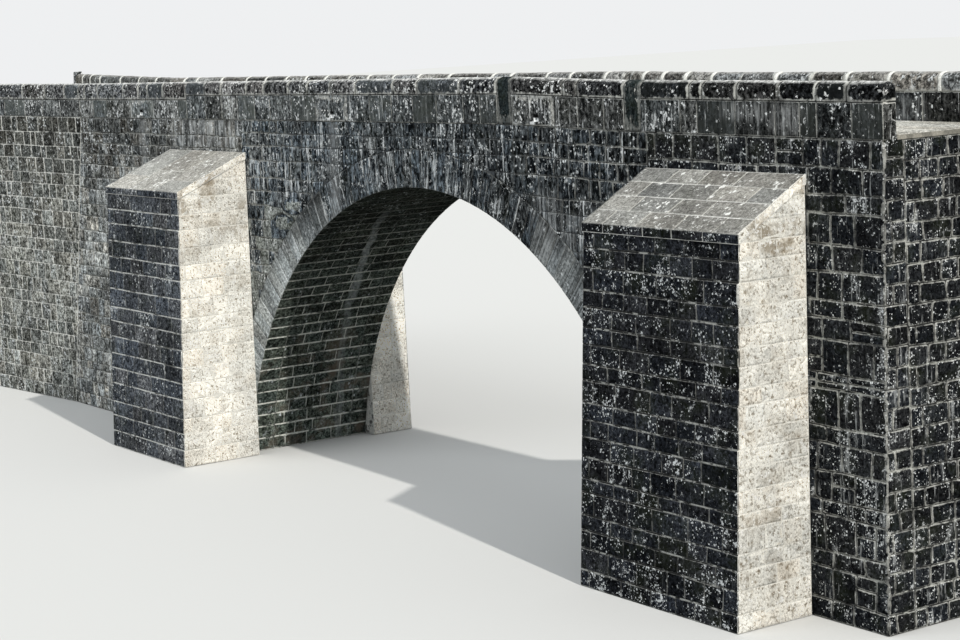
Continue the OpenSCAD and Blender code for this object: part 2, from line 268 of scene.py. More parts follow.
def even_levels(low, high, step):
    count = max(1, round((high - low) / step))
    return [low + (high - low) * i / count for i in range(count + 1)]


def uneven_levels(low, high, step, spread, rng):
    """Levels of courses whose heights differ by up to the spread, as a share of the step."""
    levels = even_levels(low, high, step)
    middle = [z + rng.uniform(-0.5, 0.5) * spread * step for z in levels[1:-1]]
    return [low, *middle, high]


# Stones and mortar


class Stonework:
    """How the stones of one face are cut, in metres.

    gap and band are half the joint and the band of smeared mortar beside it, across and upright. relief is
    how far a stone bulges, how uneven it is, and how far the mortar lies behind its edge.
    """

    def __init__(self, gap=(0.006, 0.008), corner=0.015, bevel=0.008, relief=(0.004, 0.003, 0.006),
                 band=(0.05, 0.05)):
        self.gap, self.corner, self.bevel, self.band = gap, corner, bevel, band
        self.bulge, self.rough, recess = relief
        self.face = -(self.bulge + self.rough)
        self.edge = self.face - 0.7 * bevel
        self.sink = -self.edge + recess


ASHLAR = Stonework()
SLABS = Stonework(band=(0.030, 0.030))
BLOCKS = Stonework((0.013, 0.004), 0.020, 0.008, (0.005, 0.004, 0.002), (0.045, 0.025))
ROUGH = Stonework((0.006, 0.006), 0.032, 0.012, (0.010, 0.008, 0.004))
CLOSE = Stonework((0.006, 0.005), 0.028, 0.010, (0.008, 0.007, 0.003))
SMOOTH = Stonework((0.006, 0.004), 0.010, 0.006, (0.002, 0.003, 0.003))
STRONG_BEDS = Stonework((0.005, 0.012), 0.010, 0.006, (0.003, 0.003, 0.001), (0.03, 0.03))
CAP_WORK = Stonework((0.008, 0.008), 0.015, 0.006, (0.003, 0.003, 0.001), (0.04, 0.04))
VAULT = Stonework((0.005, 0.015), 0.006, 0.004, (0.002, 0.003, 0.001), (0.03, 0.04))
FLUSH = Stonework((0.004, 0.004), 0.012, 0.002, (0.004, 0.007, 0.000), (0.04, 0.04))
BOULDER = Stonework((0.055, 0.050), 0.010, 0.020, (0.012, 0.003, 0.006))

# The back of a stone, which the mortar hides: how far it lies behind the mortar, and how much smaller it is
BACK_DEPTH = 0.05
BACK_SHARE = 0.92


def linked(name, data):
    """A new object in the scene."""
    item = bpy.data.objects.new(name, data)
    bpy.context.scene.collection.objects.link(item)
    return item


def stand_in(mesh, node, materials, looks):
    """Makes the object that stands for a CAD node. looks are four numbers a point, read by the materials."""
    for material in materials:
        mesh.materials.append(material)
    mesh.attributes.new("stone", "FLOAT_COLOR", "POINT").data.foreach_set("color", looks)
    mesh.validate()
    mesh.update()
    piece = linked(mesh.name, mesh)
    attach(piece, "root")
    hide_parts(node)


def cad_shape(node):
    """A CAD node's mesh with its double points joined, to be worked on."""
    shape = bmesh.new()
    shape.from_mesh(frame["nodes"][node].data)
    bmesh.ops.remove_doubles(shape, verts=shape.verts, dist=1e-4)
    return shape


def tube(rings, count, closed=False):
    """The faces between rings of points, with the same count of points in each ring."""
    faces = []
    for r in range(rings if closed else rings - 1):
        a, b = r * count, (r + 1) % rings * count
        for i in range(count):
            j = (i + 1) % count
            faces.append((a + i, a + j, b + j, b + i))
    return faces


def turned(place, centre):
    """True if a face's plan is mirrored where it is placed, so that its blocks would be inside out."""
    u, v = centre
    e = 1e-4
    spots = place(np.array([u, u + e, u, u]), np.array([v, v, v + e, v]), np.array([0, 0, 0, e]))
    a, b, c = (spots[i] - spots[0] for i in (1, 2, 3))
    return float(np.dot(np.cross(a, b), c)) < 0


class Masonry:
    """The mortar and the stones that stand for one CAD node, as one mesh."""

    def __init__(self, node):
        self.node = node
        self.low, self.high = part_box(node)
        self.rng = random.Random(node)
        self.verts, self.faces, self.materials, self.looks, self.smooth = [], [], [], [], []

    def add(self, points, faces, material, edge, smooth=True):
        """Adds a block. edge says for each point how near it is to a joint, from 0 to 1."""
        start = len(self.verts)
        self.verts += [tuple(p) for p in points]
        self.faces += [tuple(start + i for i in f) for f in faces]
        self.materials += [material] * len(faces)
        self.smooth += [smooth] * len(faces)
        look = (self.rng.random(), self.rng.random(), self.rng.random())
        self.looks += [(*look, e) for e in edge]

    def mortar(self, exposed, sink, material=lambda normal: 0):
        """A copy of the CAD node whose exposed faces lie back by sink."""
        shape = cad_shape(self.node)
        shape.normal_update()
        shifts = {}
        for v in shape.verts:
            normals = []
            for f in v.link_faces:
                centre = f.calc_center_median()
                if exposed(f.normal, centre) and all(f.normal.dot(n) < 0.95 for n in normals):
                    normals.append(f.normal.copy())
            shifts[v] = sum((n * sink for n in normals), Vector())
        slots = [material(f.normal) for f in shape.faces]
        for v, shift in shifts.items():
            v.co -= shift
        shape.verts.index_update()
        for face, slot in zip(shape.faces, slots):
            self.faces.append(tuple(len(self.verts) + v.index for v in face.verts))
            self.materials.append(slot)
            self.smooth.append(False)
        self.verts += [tuple(v.co) for v in shape.verts]
        self.looks += [(0.5, 0.5, 0.5, 1.0)] * len(shape.verts)
        shape.free()

    def stone(self, outline, place, work, material, hole=None):
        """One closed block with a worn face. place(u, v, w) gives where points of the face's plan are."""
        uv = np.array(outline, float)
        low, high = uv.min(0), uv.max(0)
        size, centre = high - low, (low + high) / 2
        if min(size) < 3 * max(work.gap) + 0.02:
            return
        uv = centre + (uv - centre) * (1 - 2 * np.array(work.gap) / size)
        count = len(uv)
        bevel = np.minimum(2 * work.bevel / size, 0.5)

        def jitter():
            return np.array([self.rng.uniform(-1, 1) for _ in range(count)]) * work.rough

        rings = [
            (centre + (uv - centre) * BACK_SHARE, np.full(count, -work.sink - BACK_DEPTH)),
            (uv, np.full(count, work.edge)),
            (centre + (uv - centre) * (1 - bevel), work.face + jitter() * 0.5),
        ]
        if hole:
            turns = [math.atan2(p[1] - centre[1], p[0] - centre[0]) for p in uv]
            spots = np.array([(math.cos(t), math.sin(t)) for t in turns])
            rim = np.array(hole[:2]) + hole[2] * spots / np.abs(spots).max(1, keepdims=True)
            rings += [(rim, np.full(count, work.face)), (rim, np.full(count, -DRAIN_DEPTH))]
        else:
            inset = np.minimum(2 * np.array(work.band) / size, 0.6)
            rings.append((centre + (uv - centre) * (1 - inset), work.face + work.bulge * 0.6 + jitter()))
        faces = [tuple(range(count))[::-1]] + tube(len(rings), count)
        points = [place(p[:, 0], p[:, 1], w) for p, w in rings]
        if not hole:
            points.append(place(centre[:1], centre[1:], np.array([work.face + work.bulge])))
            top, last = len(rings) * count, (len(rings) - 1) * count
            faces += [(last + i, last + (i + 1) % count, top) for i in range(count)]
        points = np.concatenate(points)
        if turned(place, centre):
            faces = [f[::-1] for f in faces]
        self.add(points, faces, material, [1.0] * (3 * count) + [0.0] * (len(points) - 3 * count))
        if hole:
            self.lining(place, hole, work)

    def lining(self, place, hole, work):
        """Four thin slabs that line a drain hole."""
        x, z, half = hole
        corners = ((-1, -1), (1, -1), (1, 1), (-1, 1))
        outer = np.array([(x + i * half, z + j * half) for i, j in corners])
        inner = np.array([x, z]) + (outer - (x, z)) * 0.88
        rings = [(outer, work.face), (inner, work.face - 0.002), (inner, -DRAIN_DEPTH), (outer, -DRAIN_DEPTH)]
        points = np.concatenate([place(p[:, 0], p[:, 1], np.full(4, w)) for p, w in rings])
        faces = tube(4, 4, closed=True)
        if turned(place, (x, z)):
            faces = [f[::-1] for f in faces]
        self.add(points, faces, 1, [0.0] * 16, smooth=False)

    def lay(self, outlines, place, work, material, region=None, hidden=(), rounds=(), warp=None, holes=()):
        """Lays the stones of one face. hidden are boxes of the face that something else covers.

        rounds are ellipses (x, z, half width, half height) that the stones leave free.
        """
        for outline in outlines:
            if warp:
                outline = [(u, warp(u, v)) for u, v in outline]
            if region:
                before = area(outline)
                outline = trimmed(outline, region)
                if not outline or area(outline) < LEAST_SHARE * before:
                    continue
            if any(all(a < u < b and c < v < d for u, v in outline) for a, b, c, d in hidden):
                continue
            cut = outline
            for shape in rounds:
                cut = cut and outside_round(cut, shape)
            if not cut:
                continue
            shaped = cut if cut is not outline else rounded(outline, work.corner, self.rng)
            us, vs = zip(*outline)
            inside = [h for h in holes if min(us) < h[0] < max(us) and min(vs) < h[1] < max(vs)]
            self.stone(shaped, place, work, material, inside[0] if inside else None)

    def piece(self, slot, materials):
        """Makes the Blender object, which stays inside the model's box."""
        mesh = bpy.data.meshes.new(self.node + "_stones")
        mesh.from_pydata(np.clip(self.verts, cad_low, cad_high).tolist(), [], self.faces)
        mesh.polygons.foreach_set("material_index", self.materials)
        mesh.polygons.foreach_set("use_smooth", self.smooth)
        stand_in(mesh, self.node, materials, np.array(self.looks, np.float32).ravel())


# Where the faces are. Each place takes a point of the face's plan and w, its distance outwards


def wall_y(side, z, w):
    """Y of a straight wall's face. The near walls lean, so that they get thicker downwards."""
    return NEAR_Y - WALL_LEAN * np.maximum(0, WALL_H - z) - w if side == NEAR else FAR_Y + w


def wall_face(side):
    return lambda x, z, w: np.stack([x, wall_y(side, z, w), z], 1)


def flared(side, angle):
    """Face of a wing wall that turns outwards at the bend, or of a parapet."""
    def place(x, z, w):
        run = (BEND - x) * math.tan(angle)
        return np.stack([x + w * math.sin(angle), FACE_Y[side] + side * (run + w * math.cos(angle)), z], 1)
    return place


def end_face(x0, outward):
    return lambda y, z, w: np.stack([x0 + outward * w, y, z], 1)


def on_arch(angle, r):
    return ARCH_X + r * np.cos(angle), ARCH_Z + r * np.sin(angle)


def ring_face(side):
    """Front of the arch ring, drawn with distance round the inner edge and height above it."""
    def place(s, h, w):
        x, z = on_arch(s / INNER_R, INNER_R + h)
        return np.stack([x, wall_y(side, z, w), z], 1)
    return place


def intrados(y, s, w):
    """Underside of the arch, drawn with place across the bridge and distance round the arch."""
    x, z = on_arch(s / INNER_R, INNER_R - w)
    return np.stack([x, y, z], 1)


# Shaders


class Value:
    """A number that a shader works out at each spot, for plain arithmetic."""

    def __init__(self, shader, socket):
        self.shader, self.socket = shader, socket

    def __add__(self, other):
        return self.shader.math("ADD", self, other)

    def __sub__(self, other):
        return self.shader.math("SUBTRACT", self, other)

    def __rsub__(self, other):
        return self.shader.math("SUBTRACT", other, self)

    def __mul__(self, other):
        return self.shader.math("MULTIPLY", self, other)

    def __pow__(self, other):
        return self.shader.math("POWER", self, other)

    def __abs__(self):
        return self.shader.math("ABSOLUTE", self)


class Shader:
    """Short ways to build one rough stone-like material from nodes."""

    def __init__(self, name):
        self.material = bpy.data.materials.new(name)
        self.material.use_nodes = True
        self.tree = self.material.node_tree
        self.tree.nodes.clear()
        self.place = self.add("TexCoord").outputs["Object"]
        self.x, self.y, self.z = self.parts("SeparateXYZ", self.place)
        look = self.add("Attribute", attribute_name="stone")
        self.tone, self.hue, self.chance = self.parts("SeparateColor", look.outputs["Color"])
        self.edge = Value(self, look.outputs["Alpha"])

    def add(self, kind, inputs=None, **props):
        node = self.tree.nodes.new("ShaderNode" + kind)
        for key, value in props.items():
            setattr(node, key, value)
        for key, value in (inputs or {}).items():
            if isinstance(value, Value):
                value = value.socket
            if isinstance(value, bpy.types.NodeSocket):
                self.tree.links.new(value, node.inputs[key])
            else:
                node.inputs[key].default_value = value
        return node

    def value(self, kind, inputs, **props):
        return Value(self, self.add(kind, inputs, **props).outputs[0])

    def parts(self, kind, vector):
        """The three parts of a place or a colour."""
        return [Value(self, output) for output in self.add(kind, {0: vector}).outputs]

    def math(self, operation, a, b=0.0):
        return self.value("Math", {0: a, 1: b}, operation=operation)

    def most(self, a, b):
        return self.math("MAXIMUM", a, b)

    def hypot(self, a, b):
        return self.math("SQRT", a * a + b * b)

    def span(self, value, low, high, out_low=0.0, out_high=1.0):
        """The value's way from low to high, from 0 to 1 or between two other bounds."""
        inputs = {"Value": value, "From Min": low, "From Max": high, "To Min": out_low, "To Max": out_high}
        return self.value("MapRange", inputs)

    def between(self, value, low, high, soft):
        """1 where the value is between low and high, with soft sides."""
        return self.span(value, low - soft, low + soft) * self.span(value, high + soft, high - soft)

    def on_side(self, side):
        """1 on one half of the bridge."""
        return self.span(self.y * side, 0.0, 0.1)

    def noise(self, scale, detail=4.0, roughness=0.6, stretch=None, vector=None):
        vector = vector or self.place
        if stretch:
            vector = self.add("Mapping", {"Vector": vector, "Scale": stretch}).outputs[0]
        inputs = {"Vector": vector, "Scale": scale, "Detail": detail, "Roughness": roughness}
        return self.value("TexNoise", inputs)

    def spots(self, across, upright, share):
        """1 in spots of uneven size, so many to a metre across and upright. share says how many show."""
        vector = self.add("Mapping", {"Vector": self.place, "Scale": (across, across, upright)}).outputs[0]
        wobble = self.add("TexNoise", {"Vector": vector, "Scale": 2.0, "Detail": 3.0})
        shift = self.scaled(wobble.outputs["Color"], 0.9)
        moved = self.add("VectorMath", {0: vector, 1: shift}, operation="ADD")
        cells = self.add("TexVoronoi", {"Vector": moved.outputs[0], "Scale": 1.0})
        size, rank, _ = self.parts("SeparateColor", cells.outputs["Color"])
        spot = self.span(Value(self, cells.outputs["Distance"]) + size * 0.25, 0.46, 0.38)
        return spot * self.span(share - rank, -0.03, 0.03)

    def streaks(self, across, upright, radial):
        """Fine streaks, so many to a metre, upright or pointing to the arch's centre."""
        if not radial:
            return self.noise(1.0, 5.0, 0.7, stretch=(across, across, upright))
        x, z = self.x - ARCH_X, self.z - ARCH_Z
        around = self.math("ARCTAN2", z, x) * (across * INNER_R)
        inputs = {0: around, 1: self.y * across, 2: self.hypot(x, z) * upright}
        return self.noise(1.0, 5.0, 0.7, vector=self.add("CombineXYZ", inputs).outputs[0])

    def blend(self, amount, a, b):
        """Colour a, with colour b by amount."""
        a, b = (c if isinstance(c, bpy.types.NodeSocket) else (*c, 1.0) for c in (a, b))
        return self.add("Mix", {0: amount, 6: a, 7: b}, data_type="RGBA").outputs[2]

    def scaled(self, colour, amount):
        return self.add("VectorMath", {0: colour, 3: amount}, operation="SCALE").outputs[0]

    def finish(self, colour, height, depth, strength):
        bump = self.add("Bump", {"Height": height, "Distance": depth, "Strength": strength})
        gloss = {"Roughness": 0.9, "Specular IOR Level": 0.03}
        surface = self.add("BsdfPrincipled", {"Base Color": colour, "Normal": bump.outputs[0], **gloss})
        self.add("OutputMaterial", {"Surface": surface.outputs[0]})
        return self.material


# Marks of water, lime and age, painted shade round the boulders and at the drains, and painted sunlight in
# the drains. A mark gives its cover from the shader and its streaks


def drain_run(x, side, z, reach):
    """Pale mark of the water that runs down from a drain."""
    def cover(s, streak):
        down = s.span(s.z, z, z - 0.05) * s.span(s.z, z - reach, z - 0.5 * reach) * s.on_side(side)
        return s.between(s.x, x - 0.19, x + 0.19, 0.14) * down * s.span(streak, 0.3, 0.65, 0.10, 0.30)
    return cover


def drain_lime_and_shade(x, side, low, high, amount):
    """A mark at a drain's mouth, between two heights over the drain's middle. Used pale, it is lime and
    painted sunlight on the lower jambs; used black, it is painted shade in the upper part of the mouth.
    """
    z = level(WALL_LINE, x) + ROAD_T + DRAIN / 2

    def cover(s, streak):
        off_x = abs(s.x - x) + s.span(streak, 0.3, 0.7, -0.02, 0.02)
        across = s.span(off_x, 0.085, 0.065, 0.0, amount) * s.on_side(side)
        return across * s.between(s.z, z + low, z + high, 0.01)
    return cover


def clean_zone(x0, x1, z0, z1, amount):
    """Cleaner, paler stone in one part of a face."""
    def cover(s, streak):
        where = s.between(s.x, x0, x1, 0.2) * s.between(s.z, z0, z1, 0.08)
        return where * s.span(streak, 0.47, 0.56, 0.1 * amount, amount)
    return cover


def lime_run(s, streak):
    """Pale lime that runs down the left side of the vault."""
    off = s.y + (s.x * 0.2 - 0.83) + s.span(s.noise(1.5, 3.0), 0.3, 0.7, -0.08, 0.08)
    wide = s.span(abs(off), 0.12, 0.07) * s.span(s.x, 2.8, 0.9)
    return wide * s.span(s.z, 3.0, 4.4, 0.35, 1.0) * s.span(streak, 0.40, 0.60, 0.20, 0.72)


def boulder_rim_shade(s, streak):
    """Painted shade in the hollows round the boulders."""
    rims = 0.0
    for x, z, half_width, half_height in BOULDERS:
        east, up = abs((s.x - x) * (1 / half_width)), abs((s.z - z) * (1 / half_height))
        off = (east ** 3.0 + up ** 3.0) ** (1 / 3) + s.span(s.noise(4.0, 3.0), 0.35, 0.65, -0.06, 0.06)
        rims = s.most(rims, s.between(off, 0.92, 1.02, 0.05))
    return rims * s.span(s.noise(3.0, 3.0), 0.40, 0.55, 0.10, 0.85) * s.on_side(NEAR)


def outer_grime(s, streak):
    """Grime that creeps over the outer ends of the arch stones."""
    out = s.hypot(s.x - ARCH_X, s.z - ARCH_Z) + s.span(s.noise(1.3, 4.0), 0.35, 0.65, -0.25, 0.25)
    return s.span(out, OUTER_R - 0.35, OUTER_R, 0.0, 0.45)


def at_drains(mark, *sizes, count=3):
    """The mark at the first drains of both sides."""
    return [mark(x, side, *sizes) for side, _ in SIDES for x in DRAINS[side][:count]]


def water_marks():
    """Pale marks of water on the walls: runs under the left drains, and smooth patches low at the right."""
    runs = at_drains(drain_run, WALL_H + 0.05, 4.2, count=2)
    return runs + [clean_zone(10.1, 10.9, 5.0, 6.8, 0.32), clean_zone(10.9, 12.2, 4.6, 6.4, 0.22)]


# Shares that change over a face


def over_arch(s):
    """Share of the walls' joints that shows: few over and right of the arch, none round the boulders."""
    low_right = s.between(s.x, 9.4, 12.2, 0.3) * s.span(s.z, 7.0, 6.3, 0.0, 0.75)
    from_boulders = s.hypot(s.x - 0.27, (s.z - 5.88) * 1.5)
    share = s.span(abs(s.x - (ARCH_X - 0.5)), 3.25, 6.5, 0.10, 1.0) * s.span(from_boulders, 0.75, 1.1)
    return share * (1.0 - low_right)


def vault_share(s):
    """Share of the joints that shows in the vault: few high up and at the seams with the arch rings."""
    off_near, off_far = (abs(s.y - (FACE_Y[side] - side * WALL_T)) for side in (NEAR, FAR))
    seams = s.span(s.math("MINIMUM", off_near, off_far), 0.01, 0.03, 0.3, 1.0)
    return s.span(s.z, 3.8, 6.2, 1.0, 0.12) * seams


def grime_up(s):
    """Cover of the grime on the sides of the buttresses, which grows towards the caps."""
    return s.span(s.z, 4.8, 6.8, 0.35, 0.95)


def earth_down(s):
    """Cover of the brown earth on the stones of the vault, which grows towards the ground."""
    return s.span(s.z, 3.4, 1.8, 0.1, 0.9)


def fewer_right(s):
    """Flecks of the parapets, which are fewer over the right buttress."""
    return s.span(s.x, ARCH_X, ARCH_X + 6, 2.2, 0.8)


# Granite and mortar


PALE = (0.66, 0.66, 0.62)
BLUISH = (0.60, 0.65, 0.67)
WHITISH = (0.84, 0.87, 0.88)
WARM = (1.50, 1.28, 1.08)
COOL = (0.66, 0.80, 0.98)
MOSS = (0.09, 0.11, 0.05)
# Near-black for grime and for painted shade
SOOT_AND_SHADE = (0.003, 0.003, 0.003)


def granite(name, dark, mid, pale=WHITISH, grain=(0.42, 0.60), scale=11.0, tones=0.5, patches=0.4, moss=0.1,
            stain=MOSS, warm=0.35, streaks=0.5, streak_run=(13.0, 1.9), flecks=0.5, fleck_run=(15.0, 10.0),
            lichen=0.4, joint=PALE, smear=0.5, speckle=0.6, top_highlight=None, fade=None, rise=None, marks=(),
            soot_and_shade=(), calm=None, radial=False, drawn=1.0, plain=None):
    """Weathered granite: dark crust, mid patches, and pale streaks, flecks, lichen and smeared joints.

    tones, patches and speckle say how much stones, areas and grains differ in brightness, warm how much the
    stones differ in tint, and streaks, flecks, lichen and smear how much there is of each, all from 0 up.
    streak_run and fleck_run say how many fit in a metre, across and upright. fade is (x0, x1, k): the stone
    under its flecks turns k times as bright from x0 to x1, and rise is the same from z0 to z1. marks give
    the cover of further pale marks, and soot_and_shade of black ones: grime, and painted shade in the hollows
    round the boulders and in the upper part of the drains' mouths. calm is the share of the joints that
    shows.
    moss is the cover of the stain. moss and flecks are numbers or functions. drawn below 1 draws the grain
    out upright. plain is the share of smooth stones and their colour, and top_highlight the colour of a
    painted highlight on upward faces.
    """
    s = Shader(name)
    moss, flecks = (share(s) if callable(share) else share for share in (moss, flecks))
    coarse = s.noise(scale, 8.0, 0.75, (1.0, 1.0, drawn))
    fine = s.noise(2 * scale, 4.0, 0.75, (1.0, 1.0, drawn))
    streak = s.streaks(*streak_run, radial)
    some = s.span(s.noise(2.2, 6.0, 0.7), 0.46, 0.60, 0.05, 1.0) * s.span(s.chance, 0.2, 0.7, 0.25, 1.0)

    colour = s.blend(s.span(coarse, *grain), dark, mid)
    shade = s.span(s.tone, 0.0, 1.0, 1 - 0.7 * tones, 1 + 0.7 * tones)
    shade = shade * s.span(fine, 0.35, 0.65, 1 - speckle, 1 + speckle)
    shade = shade * s.span(s.noise(0.8, 4.0, 0.6), 0.35, 0.65, 1 - patches, 1 + patches)
    colour = s.scaled(colour, shade)
    for tint, at in ((WARM, 1.0), (COOL, 0.0)):
        tinted = s.add("VectorMath", {0: colour, 1: tint}, operation="MULTIPLY").outputs[0]
        colour = s.blend(s.span(s.hue, 0.5, at) * warm, colour, tinted)
    if plain:
        share, tint = plain
        smooth = s.span(s.hue, share - 0.02, share + 0.02, 0.75, 0.0)
        smooth = smooth * s.span(s.noise(2.5, 5.0, 0.7), 0.40, 0.56, 0.35, 1.0)
        colour = s.blend(smooth, colour, tint)
        some = some * (1.0 - smooth)
    colour = s.blend(s.span(s.noise(1.7, 4.0), 0.5, 0.65) * moss, colour, stain)
    colour = s.scaled(colour, s.span(streak, 0.38, 0.50, 1 - 0.6 * streaks, 1.0))
    for run, way in ((rise, s.z), (fade, s.x)):
        if run:
            start, end, k = run
            colour = s.scaled(colour, s.span(way, start, end, 1.0, k))

    lines = s.span(streak + some * 0.09, 0.62, 0.67) * streaks
    dots = s.spots(*fleck_run, some * s.math("MULTIPLY", flecks, 0.7))
    crust = s.span(s.noise(9.0, 8.0, 0.75) + some * 0.07, 0.61, 0.65) * lichen
    cover = s.most(s.most(lines, dots), crust)
    for mark in marks:
        cover = s.most(cover, mark(s, streak))
    colour = s.blend(cover, colour, pale)
    # Black marks: grime, and painted shade round the boulders and in the upper part of the drains' mouths
    for mark in soot_and_shade:
        colour = s.blend(mark(s, streak), colour, SOOT_AND_SHADE)
    # Painted highlight: faces that point up are made paler, as if lit from above
    if top_highlight:
        up = s.parts("SeparateXYZ", s.add("NewGeometry").outputs["Normal"])[2]
        colour = s.blend(s.span(up, 0.7, 0.97) * s.span(coarse, 0.44, 0.56, 0.25, 1.0), colour, top_highlight)

    ragged = s.edge + s.span(s.noise(9.0, 5.0, 0.7), 0.35, 0.65, -0.3, 0.3)
    smeared = s.span(s.noise(1.3, 4.0, 0.6), 0.38, 0.55, 0.3, 1.0) * smear
    smeared = s.span(ragged, 0.70, 1.05) * smeared
    if calm:
        smeared = smeared * calm(s)
    return s.finish(s.blend(smeared, colour, joint), fine * 0.3 + coarse, 0.025, 0.8)


def mortar(name, pale, crust, shown=0.6, calm=None, wash=None):
    """Lime mortar, partly hidden by dark crust. calm is the share that shows, and wash colours the rest."""
    s = Shader(name)
    where = s.noise(3.5, 6.0, 0.7) + s.noise(0.8, 3.0) * 0.5
    clean = s.span(where, 0.95 - 0.4 * shown, 1.03 - 0.4 * shown)
    if calm:
        share = calm(s)
        clean = clean * share
    if wash:
        crust = s.blend(share, wash, crust)
    colour = s.scaled(s.blend(clean, crust, pale), s.span(s.noise(30.0, 4.0, 0.7), 0.3, 0.7, 0.6, 1.2))
    return s.finish(colour, s.noise(30.0, 5.0, 0.7), 0.006, 0.5)


def streaked_granite(name, **more):
    """The blue-black stone over the arch, with long pale streaks."""
    return granite(
        name, (0.008, 0.011, 0.0145), (0.255, 0.292, 0.320), grain=(0.45, 0.60), streaks=0.9,
        streak_run=(15.0, 0.6), flecks=1.0, fleck_run=(18.0, 15.0), lichen=0.8,
        fade=(ARCH_X - 7, ARCH_X + 6, 0.40), drawn=0.45, soot_and_shade=[boulder_rim_shade], marks=water_marks(), **more
    )


def left_wall_granite():
    pale_top = clean_zone(-5.6, -2.2, WALL_H - 0.70, WALL_H - 0.02, 0.50)
    return granite(
        "left_wall_granite", (0.062, 0.064, 0.060), (0.67, 0.68, 0.65), grain=(0.43, 0.62), scale=9.0,
        streaks=0.6, streak_run=(10.0, 1.2), flecks=1.4, fleck_run=(11.0, 16.0), lichen=1.0,
        rise=(6.3, 7.2, 0.33), tones=0.6, drawn=0.8, marks=[*water_marks(), pale_top]
    )


def right_wall_granite():
    return granite(
        "right_wall_granite", (0.004, 0.0045, 0.006), (0.038, 0.042, 0.047), grain=(0.40, 0.66),
        streaks=0.3, streak_run=(13.0, 1.2), flecks=1.3, fleck_run=(24.0, 22.0), lichen=0.7, smear=0.7
    )


def wing_granite():
    return granite(
        "wing_granite", (0.044, 0.046, 0.042), (0.53, 0.54, 0.50), grain=(0.42, 0.62), scale=9.0, warm=0.2,
        streaks=0.0, flecks=1.4, fleck_run=(10.0, 14.0), lichen=0.9, joint=(0.92, 0.92, 0.88), smear=0.9,
        fade=(BEND - 0.65, BEND - 0.25, 0.40), rise=(5.2, 7.7, 0.41)
    )


def boulder_granite():
    return granite(
        "boulder_granite", (0.055, 0.060, 0.057), (0.37, 0.395, 0.380), grain=(0.40, 0.62), streaks=0.0,
        flecks=0.9, lichen=0.8, warm=0.0, smear=0.4, calm=over_arch, soot_and_shade=[boulder_rim_shade]
    )


def voussoir_granite():
    return granite(
        "voussoir_granite", (0.170, 0.185, 0.190), (0.68, 0.73, 0.74), grain=(0.36, 0.64), streaks=0.8,
        streak_run=(13.0, 0.6), flecks=0.9, fleck_run=(15.0, 14.0), lichen=0.6, tones=0.4, speckle=0.35,
        smear=0.15, warm=0.12, rise=(5.0, 6.2, 0.35), fade=(ARCH_X - 5, ARCH_X + 5, 0.50),
        marks=water_marks(), soot_and_shade=[outer_grime], radial=True
    )


def barrel_granite():
    return granite(
        "barrel_granite", (0.018, 0.023, 0.020), (0.150, 0.180, 0.155), BLUISH, warm=0.2, streaks=0.1,
        flecks=0.2, rise=(3.2, 6.0, 0.45), lichen=0.45, joint=(0.80, 0.82, 0.76), smear=0.8,
        marks=[lime_run], calm=vault_share, moss=earth_down, stain=(0.17, 0.145, 0.115)
    )


def blue_black_granite():
    return granite(
        "blue_black_granite", (0.015, 0.017, 0.021), (0.145, 0.158, 0.178), flecks=0.8, lichen=0.7,
        fleck_run=(14.0, 17.0), streaks=0.12, smear=0.4
    )


def black_granite():
    return granite(
        "black_granite", (0.003, 0.0035, 0.0045), (0.042, 0.046, 0.055), grain=(0.40, 0.68), tones=0.8,
        flecks=1.2, fleck_run=(24.0, 22.0), lichen=0.9, streaks=0.05, streak_run=(16.0, 2.0), smear=0.35
    )


# The +X sides of the buttresses and caps: clean pale stone, and partly painted sunlight. Their other sides
# take a dark stone that is partly painted shade.
def sunlit_cream_granite():
    return granite(
        "sunlit_cream_granite", (0.38, 0.32, 0.24), (0.98, 0.955, 0.88), (0.98, 0.97, 0.94), (0.38, 0.48), 14.0,
        warm=0.12, streaks=0.0, flecks=0.8, fleck_run=(14.0, 14.0), lichen=1.0, tones=0.12, patches=0.25,
        speckle=0.36, moss=grime_up, stain=(0.34, 0.28, 0.20), joint=(0.94, 0.92, 0.86), smear=0.7
    )


def cap_granite():
    return granite(
        "cap_granite", (0.25, 0.245, 0.228), (0.53, 0.525, 0.495), (0.97, 0.97, 0.94), (0.38, 0.64),
        warm=0.15, streaks=0.0, flecks=0.9, fleck_run=(8.0, 8.0), lichen=0.9, tones=0.3, patches=0.25,
        speckle=0.35, joint=(0.86, 0.85, 0.80), smear=0.45, fade=(-4, 14, 0.72)
    )


def parapet_granite():
    # Pale lime below the drains, and painted sunlight on their lower jambs
    lime_and_lit_jambs = at_drains(drain_lime_and_shade, -0.15, 0.02, 1.0)
    # Painted shade in the upper part of the drains' mouths
    shades = at_drains(drain_lime_and_shade, 0.02, 0.09, 0.95)
    return granite(
        "parapet_granite", (0.016, 0.019, 0.021), (0.35, 0.375, 0.382), (0.94, 0.96, 0.96), (0.42, 0.65),
        warm=0.3, streaks=0.7, streak_run=(16.0, 1.2), flecks=fewer_right, fleck_run=(14.0, 13.0),
        lichen=1.0, tones=0.65, smear=0.9, fade=(ARCH_X - 12, ARCH_X + 9, 0.35), drawn=0.7,
        plain=(0.30, (0.180, 0.196, 0.184)), soot_and_shade=shades,
        marks=[*lime_and_lit_jambs, clean_zone(17.05, 17.72, 8.0, 8.4, 0.25), clean_zone(15.8, 16.95, 8.2, 8.5, 0.28)]
    )


def coping_granite():
    # The pale upper faces are a painted highlight
    return granite(
        "coping_granite", (0.009, 0.010, 0.012), (0.26, 0.27, 0.28), (0.96, 0.97, 0.96), (0.46, 0.60),
        streaks=0.0, flecks=fewer_right, fleck_run=(12.0, 14.0), lichen=1.0, top_highlight=(0.90, 0.90, 0.88),
        smear=0.9, fade=(ARCH_X - 2, ARCH_X + 8, 0.18), plain=(0.18, (0.080, 0.090, 0.095))
    )


